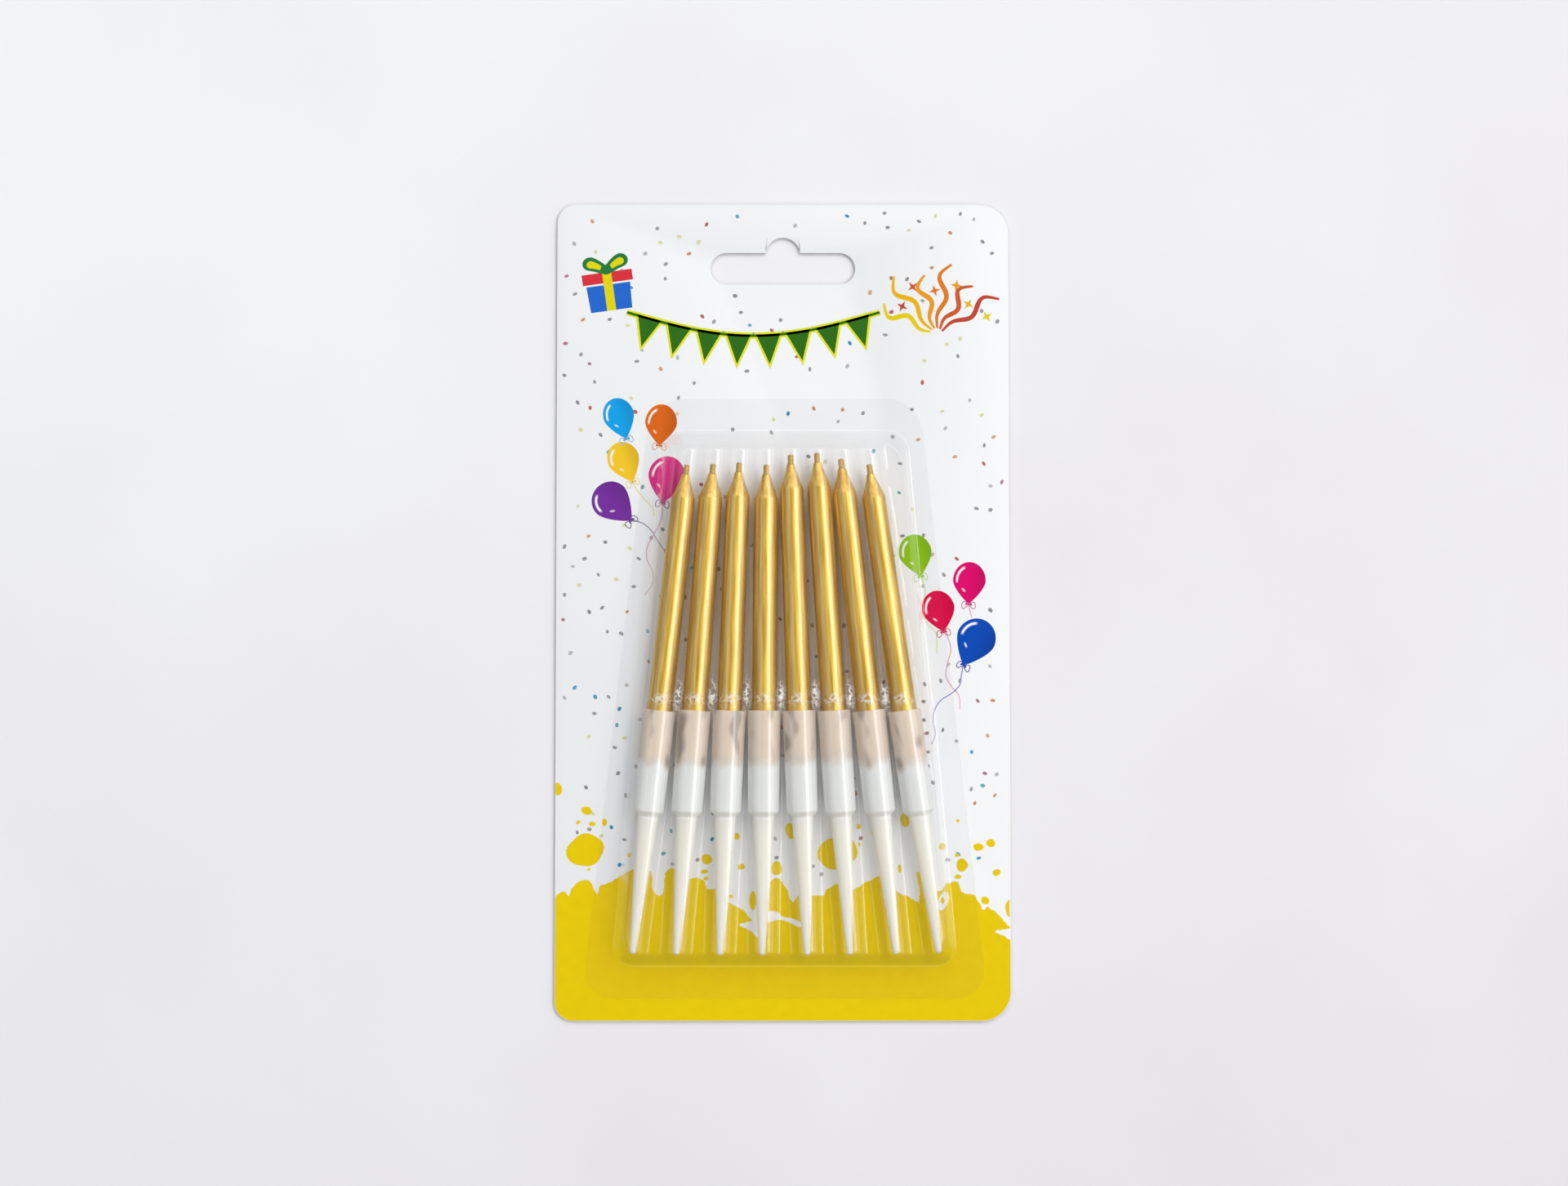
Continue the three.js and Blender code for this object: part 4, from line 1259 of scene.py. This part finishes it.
def build_splash():
    """Prints the band of paint, its dry-brush cuts and its drops."""
    ink = (*bpy.context.scene.candle_pack.artwork.splash, 1)
    left, right = print_sides()
    edge = [on_card(*point) for point in SPLASH_EDGE]
    edge = ragged([edge[0]] + smooth_run(edge, 4), step=0.55, reach=0.17)
    edge = [[clamp(x, left, right), y] for x, y in edge]
    edge[0][0], edge[-1][0] = left, right
    shapes = [flat_shape("splash_band", edge + rim_of_card(), ink, rounded=False, steps=1)]
    for number, cut in enumerate(SPLASH_CUTS):
        outline = [on_card(*point) for point in cut]
        shapes.append(flat_shape(f"dry_cut_{number}", outline, linear("#EEEFF1"), layer=1))
    rng = random.Random(SEED)
    for number, (x, y, half_x, half_y, lean) in enumerate(DROPS):
        middle, turn = Vector(on_card(x, y)), Matrix.Rotation(math.radians(lean), 2)
        points = []
        for angle in (2 * math.pi * step / 9 for step in range(9)):
            size = PIXEL * rng.uniform(0.9, 1.1)
            point = middle + turn @ Vector((math.cos(angle) * half_x, math.sin(angle) * half_y)) * size
            points.append([clamp(point.x, left, right - 0.2), point.y])
        shapes.append(flat_shape(f"drop_{number}", points, ink, layer=1.5))
    join_print("print_splash", shapes, offset_ink())


# Inks of the confetti, the common ones more than once
CONFETTI_INKS = (
    ["#9A9A9C"] * 5 + ["#8E8E92"] * 3 + ["#B9B6B4"] * 3 + ["#D9D6A6"] * 3
    + ["#C9A58C", "#C78E6E", "#B5666A", "#4E9DCB", "#3F8FB5", "#6FA8B0", "#A77B83"])
# What the confetti keeps clear of, in millimetres: the card's edge, the paint and the next dot
CONFETTI_MARGIN, CONFETTI_FOOT, CONFETTI_GAP = 1.5, -58, 2.6
# Half the width and height of the room it leaves about the slot, and how far above its middle that room is
SLOT_ROOM_X, SLOT_ROOM_Y, SLOT_ROOM_RISE = 17.5, 7, 1
# Middle of the arc that it keeps within at each upper corner, and the arc's radius
CORNER_X, CORNER_Y, CORNER_REACH = 43, 83, 5.4


def build_confetti():
    """Scatters copies of a small printed dot over the card, each a little different in shape and ink."""
    pack = bpy.context.scene.candle_pack
    rng = random.Random(SEED)
    places, dots = [], []
    half_x, half_y = CARD_HIGH.x / MM - CONFETTI_MARGIN, CARD_HIGH.y / MM - CONFETTI_MARGIN
    slot_y = (CARD_HIGH.y - pack.card.slot_from_top) / MM + SLOT_ROOM_RISE
    while len(places) < pack.artwork.confetti:
        x, y = rng.uniform(-half_x, half_x), rng.uniform(CONFETTI_FOOT, half_y)
        in_slot = abs(x) < SLOT_ROOM_X and abs(y - slot_y) < SLOT_ROOM_Y
        in_corner = math.hypot(max(abs(x) - CORNER_X, 0), max(y - CORNER_Y, 0)) > CORNER_REACH
        close = any(math.hypot(x - a, y - b) < CONFETTI_GAP for a, b in places)
        if not in_slot and not in_corner and not close:
            places.append((x, y))
    bpy.ops.object.select_all(action="DESELECT")
    bpy.ops.mesh.primitive_circle_add(vertices=10, radius=0.44 * MM, fill_type="NGON")
    dot = bpy.context.object
    for number, (x, y) in enumerate(places):
        turn = Matrix.Rotation(rng.uniform(0, math.pi), 4, "Z")
        shape = Matrix.Diagonal((rng.uniform(0.7, 1.0), rng.uniform(1.0, 1.35), 1, 1))
        copy = copy_at(dot, f"dot_{number}", Matrix.Translation((x * MM, y * MM, 0)) @ turn @ shape)
        dots.append(settle(copy, linear(rng.choice(CONFETTI_INKS)), layer=0.5))
    drop(dot)
    join_print("print_confetti", dots, offset_ink())


def garland_shapes():
    """A sagging cord with eight pennants, each dark on a paler border."""
    green, lime = linear("#2C6B14"), linear("#DDE31C")
    left, span, height, sag = -34.5, 56.0, 66.0, 5.2

    def hang(share):
        return Vector((left + span * share, height - sag * math.sin(math.pi * share)))

    cord = [hang(i / 20) for i in range(21)]
    shapes = [
        stroke("garland_glow", cord, (1.3, 1.3), lime, layer=4),
        stroke("garland_cord", cord, (0.6, 0.6), green, layer=6),
    ]
    for number in range(8):
        share = (number + 0.75) / 8.5
        turn = Matrix.Rotation(math.atan2(-sag * math.pi / span * math.cos(math.pi * share), 1), 2)
        for grow, ink, layer in ((0.75, lime, 5), (0.0, green, 6)):
            half, top = 2.7 + grow, 0.3 + grow * 0.6
            corners = [(-half, top), (half, top), (0, -6.4 - grow * 1.5)]
            outline = [hang(share) + turn @ Vector(corner) for corner in corners]
            name = f"pennant_{number}_{layer}"
            shapes.append(flat_shape(name, outline, ink, layer, rounded=False, steps=1))
    return shapes


def gift_shapes():
    """A wrapped box with a bow, in flat inks."""
    middle, turn = Vector((-38.6, 71.6)), Matrix.Rotation(math.radians(8), 2)

    def part(name, corners, ink, layer, rounded=False):
        outline = [turn @ Vector(corner) + middle for corner in corners]
        return flat_shape(f"gift_{name}", outline, linear(ink), layer, rounded, steps=5)

    shapes = [
        part("box", [(-4.6, -5.2), (4.6, -5.2), (4.9, 0.6), (-4.9, 0.6)], "#2167CC", 2),
        part("lid", [(-5.6, 1.0), (5.6, 1.0), (5.6, 3.4), (-5.6, 3.4)], "#D8303A", 2),
        part("ribbon", [(-1.0, -5.2), (1.0, -5.2), (1.0, 3.4), (-1.0, 3.4)], "#E0D400", 3),
    ]
    for side in (-1, 1):
        loop = [(side * x, y) for x, y in ((0, 3.5), (1.6, 6.4), (4.2, 7.0), (5.0, 5.2), (2.8, 3.9))]
        inner = [(side * x, y) for x, y in ((1.0, 4.3), (2.1, 5.8), (3.7, 6.2), (4.1, 5.2), (2.6, 4.5))]
        shapes.append(part(f"loop_{side + 1}", loop, "#1E7A3C", 3, True))
        shapes.append(part(f"loop_inside_{side + 1}", inner, "#E0D400", 4, True))
    shapes.append(part("knot", [(-0.9, 3.2), (0.9, 3.2), (1.0, 4.7), (-1.0, 4.7)], "#1E7A3C", 5, True))
    return shapes


def burst_shapes():
    """Curling streamers that fan out from one point, with small stars between them."""
    shapes = []
    start = Vector((34.0, 61.0))
    inks = ["#E3CB00", "#E9B400", "#E99A10", "#DE7A18", "#CC5A2A", "#BE4630"]
    for number, ink in enumerate(inks):
        angle = math.radians(153 - 24 * number)
        along = Vector((math.cos(angle), math.sin(angle)))
        beside = Vector((-along.y, along.x))
        reach, turns = 14.5 if number % 2 else 12.0, 1.6
        path = []
        for share in (i / 12 for i in range(13)):
            sway = (0.3 + 1.3 * share) * math.sin(2 * math.pi * turns * share)
            path.append(start + along * (1.5 + reach * share) + beside * sway)
        shapes.append(stroke(f"streamer_{number}", path, (0.45, 1.0, 1.1, 0.5), linear(ink), layer=2))
        star = start + Matrix.Rotation(math.radians(-13), 2) @ along * (reach * 0.82)
        points = []
        for i in range(8):
            corner, size = math.pi * i / 4 + angle, 0.45 if i % 2 else 1.35
            points.append(star + size * Vector((math.cos(corner), math.sin(corner))))
        star_ink = linear(inks[-1 - number])
        shapes.append(flat_shape(f"star_{number}", points, star_ink, layer=2, rounded=False, steps=1))
    return shapes


def build_heading():
    """Prints the heading: a garland of pennants between a wrapped gift and a burst of streamers."""
    join_print("print_heading", garland_shapes() + gift_shapes() + burst_shapes(), offset_ink())


# Stage

# Soft lamps round the card: name, place and size in metres, and the setting that holds their power
LAMPS = (
    ("key_softbox", (0.92, 0.4, 1.72), (1.7, 0.65), "key"),
    ("side_softbox", (1.4, 0.45, 1.45), (2.2, 1.5), "side"),
    ("head_softbox", (0, 1.4, 1.5), (1.6, 1.0), "ends"),
    ("foot_softbox", (0, -1.4, 1.5), (1.6, 1.0), "ends"),
    ("fill_softbox", (-1.1, 0.4, 1.6), (2.0, 1.6), "fill"),
)
# The camera's lean off the card's normal, towards its foot, and the width of its sensor in millimetres
CAMERA_TILT = math.radians(2.73)
SENSOR = 36


def build_floor():
    """Lays a plain pale floor just under the card."""
    bpy.ops.object.select_all(action="DESELECT")
    bpy.ops.mesh.primitive_plane_add(size=6, location=(0, 0, -0.4 * MM))
    floor = bpy.context.object
    floor.name = floor.data.name = "floor"
    begin_edit(floor)
    bpy.ops.mesh.subdivide(number_cuts=3)
    end_edit()
    give(floor, floor_paint())


def light_world():
    """Soft light all round, stronger towards the card's head and right. It is dim near the floor, and dim
    straight above, so that the film mirrors no pale veil."""
    stage = bpy.context.scene.candle_pack.stage
    world = bpy.data.worlds.new("studio")
    bpy.context.scene.world = world
    world.use_nodes = True
    tree = world.node_tree
    tree.nodes.clear()
    direction = add_node(tree, "ShaderNodeTexCoord").outputs["Generated"]
    x, y, z = add_node(tree, "ShaderNodeSeparateXYZ", {"Vector": direction}).outputs
    above = add_node(tree, "ShaderNodeMapRange", {
        "Value": z, "From Min": math.cos(math.radians(26)), "From Max": math.cos(math.radians(11)),
        "To Min": stage.world, "To Max": stage.overhead}, **SOFT)
    along = add_node(tree, "ShaderNodeMapRange", {
        "Value": y, "From Min": -1.0, "From Max": 1.0, "To Min": 0.65, "To Max": 1.35})
    across = add_node(tree, "ShaderNodeMapRange", {
        "Value": x, "From Min": -0.8, "From Max": 0.6, "To Min": 0.45, "To Max": 1.4})
    low = add_node(tree, "ShaderNodeMapRange", {
        "Value": z, "From Min": 0.0, "From Max": 0.5, "To Min": 0.25, "To Max": 1.0})
    strength = above
    for share in (along, across, low):
        strength = add_node(tree, "ShaderNodeMath", {0: strength, 1: share}, operation="MULTIPLY")
    sky = add_node(tree, "ShaderNodeBackground", {"Color": linear("#F7F8FA"), "Strength": strength})
    add_node(tree, "ShaderNodeOutputWorld", {"Surface": sky})


def hang_lamps():
    """Rectangular soft lamps, each aimed at the middle of the card."""
    for name, place, size, setting in LAMPS:
        bpy.ops.object.select_all(action="DESELECT")
        bpy.ops.object.light_add(type="AREA", location=place)
        light = bpy.context.object
        light.name = light.data.name = name
        light.rotation_euler = (-Vector(place)).to_track_quat("-Z", "Y").to_euler()
        light.data.shape = "RECTANGLE"
        light.data.size, light.data.size_y = size
        light.data.energy = getattr(bpy.context.scene.candle_pack.stage, setting)


def place_camera():
    """Camera over the card, framed as the photograph is."""
    distance = bpy.context.scene.candle_pack.stage.distance
    bpy.ops.object.select_all(action="DESELECT")
    bpy.ops.object.camera_add()
    camera = bpy.context.object
    camera.name = camera.data.name = "camera"
    x, y = on_card(PHOTO_WIDTH / 2, PHOTO_HEIGHT / 2)
    back = Vector((0, -math.sin(CAMERA_TILT), math.cos(CAMERA_TILT)))
    camera.location = Vector((x * MM, y * MM, CARD_TOP)) + back * distance
    camera.rotation_euler = (CAMERA_TILT, 0, 0)
    camera.data.sensor_width = SENSOR
    camera.data.lens = SENSOR * distance / (PHOTO_WIDTH * PIXEL * MM)
    camera.data.clip_start, camera.data.clip_end = 0.01, 20
    bpy.context.scene.camera = camera


def build_stage():
    """Floor, world light, lamps and camera, and the plain view transform."""
    build_floor()
    light_world()
    hang_lamps()
    place_camera()
    bpy.context.scene.view_settings.view_transform = "Standard"


# Operators and panel

class CANDLEPACK_OT_card(bpy.types.Operator):
    """Build the backing card with its hanging slot"""
    bl_idname = "candle_pack.card"
    bl_label = "Backing card"

    def execute(self, context):
        build_card()
        return {"FINISHED"}


class CANDLEPACK_OT_splash(bpy.types.Operator):
    """Print the band of paint and its drops"""
    bl_idname = "candle_pack.splash"
    bl_label = "Paint splash"

    def execute(self, context):
        build_splash()
        return {"FINISHED"}


class CANDLEPACK_OT_confetti(bpy.types.Operator):
    """Print the confetti"""
    bl_idname = "candle_pack.confetti"
    bl_label = "Confetti"

    def execute(self, context):
        build_confetti()
        return {"FINISHED"}


class CANDLEPACK_OT_balloons(bpy.types.Operator):
    """Print the balloons and their strings"""
    bl_idname = "candle_pack.balloons"
    bl_label = "Balloons"

    def execute(self, context):
        build_balloons()
        return {"FINISHED"}


class CANDLEPACK_OT_heading(bpy.types.Operator):
    """Print the garland, the gift and the streamers"""
    bl_idname = "candle_pack.heading"
    bl_label = "Heading"

    def execute(self, context):
        build_heading()
        return {"FINISHED"}


class CANDLEPACK_OT_holders(bpy.types.Operator):
    """Build the eight spiked holders"""
    bl_idname = "candle_pack.holders"
    bl_label = "Spiked holders"

    def execute(self, context):
        build_holders()
        return {"FINISHED"}


class CANDLEPACK_OT_candles(bpy.types.Operator):
    """Build the eight candles and their wicks"""
    bl_idname = "candle_pack.candles"
    bl_label = "Candles"

    def execute(self, context):
        build_candles()
        return {"FINISHED"}


class CANDLEPACK_OT_film(bpy.types.Operator):
    """Build the clear thermoformed cover"""
    bl_idname = "candle_pack.film"
    bl_label = "Clear cover"

    def execute(self, context):
        build_film()
        return {"FINISHED"}


class CANDLEPACK_OT_stage(bpy.types.Operator):
    """Build the floor, the lights and the camera"""
    bl_idname = "candle_pack.stage"
    bl_label = "Stage"

    def execute(self, context):
        build_stage()
        return {"FINISHED"}


OPERATORS = (
    CANDLEPACK_OT_card, CANDLEPACK_OT_splash, CANDLEPACK_OT_confetti, CANDLEPACK_OT_balloons,
    CANDLEPACK_OT_heading, CANDLEPACK_OT_holders, CANDLEPACK_OT_candles, CANDLEPACK_OT_film,
    CANDLEPACK_OT_stage,
)


class CANDLEPACK_PT_panel(bpy.types.Panel):
    """Lists the pack's pieces and their settings"""
    bl_idname = "CANDLEPACK_PT_panel"
    bl_label = "Candle pack"
    bl_space_type = "VIEW_3D"
    bl_region_type = "UI"
    bl_category = "Candle pack"

    def draw(self, context):
        pack = context.scene.candle_pack
        for group in ("card", "artwork", "holder", "candle", "film", "stage"):
            box = self.layout.box()
            settings = getattr(pack, group)
            for name in settings.__annotations__:
                box.prop(settings, name)
        for operator in OPERATORS:
            self.layout.operator(operator.bl_idname)


CLASSES = (
    CandleSettings, HolderSettings, FilmSettings, CardSettings, PrintSettings, StageSettings, PackSettings,
    *OPERATORS, CANDLEPACK_PT_panel,
)


def register():
    for cls in CLASSES:
        bpy.utils.register_class(cls)
    bpy.types.Scene.candle_pack = bpy.props.PointerProperty(
        type=PackSettings, name="Candle pack", description="Settings of the candle pack")


def unregister():
    del bpy.types.Scene.candle_pack
    for cls in reversed(CLASSES):
        bpy.utils.unregister_class(cls)


def main():
    register()
    for name in ("card", "splash", "confetti", "balloons", "heading", "holders", "candles", "film", "stage"):
        getattr(bpy.ops.candle_pack, name)()


if __name__ == "__main__":
    main()
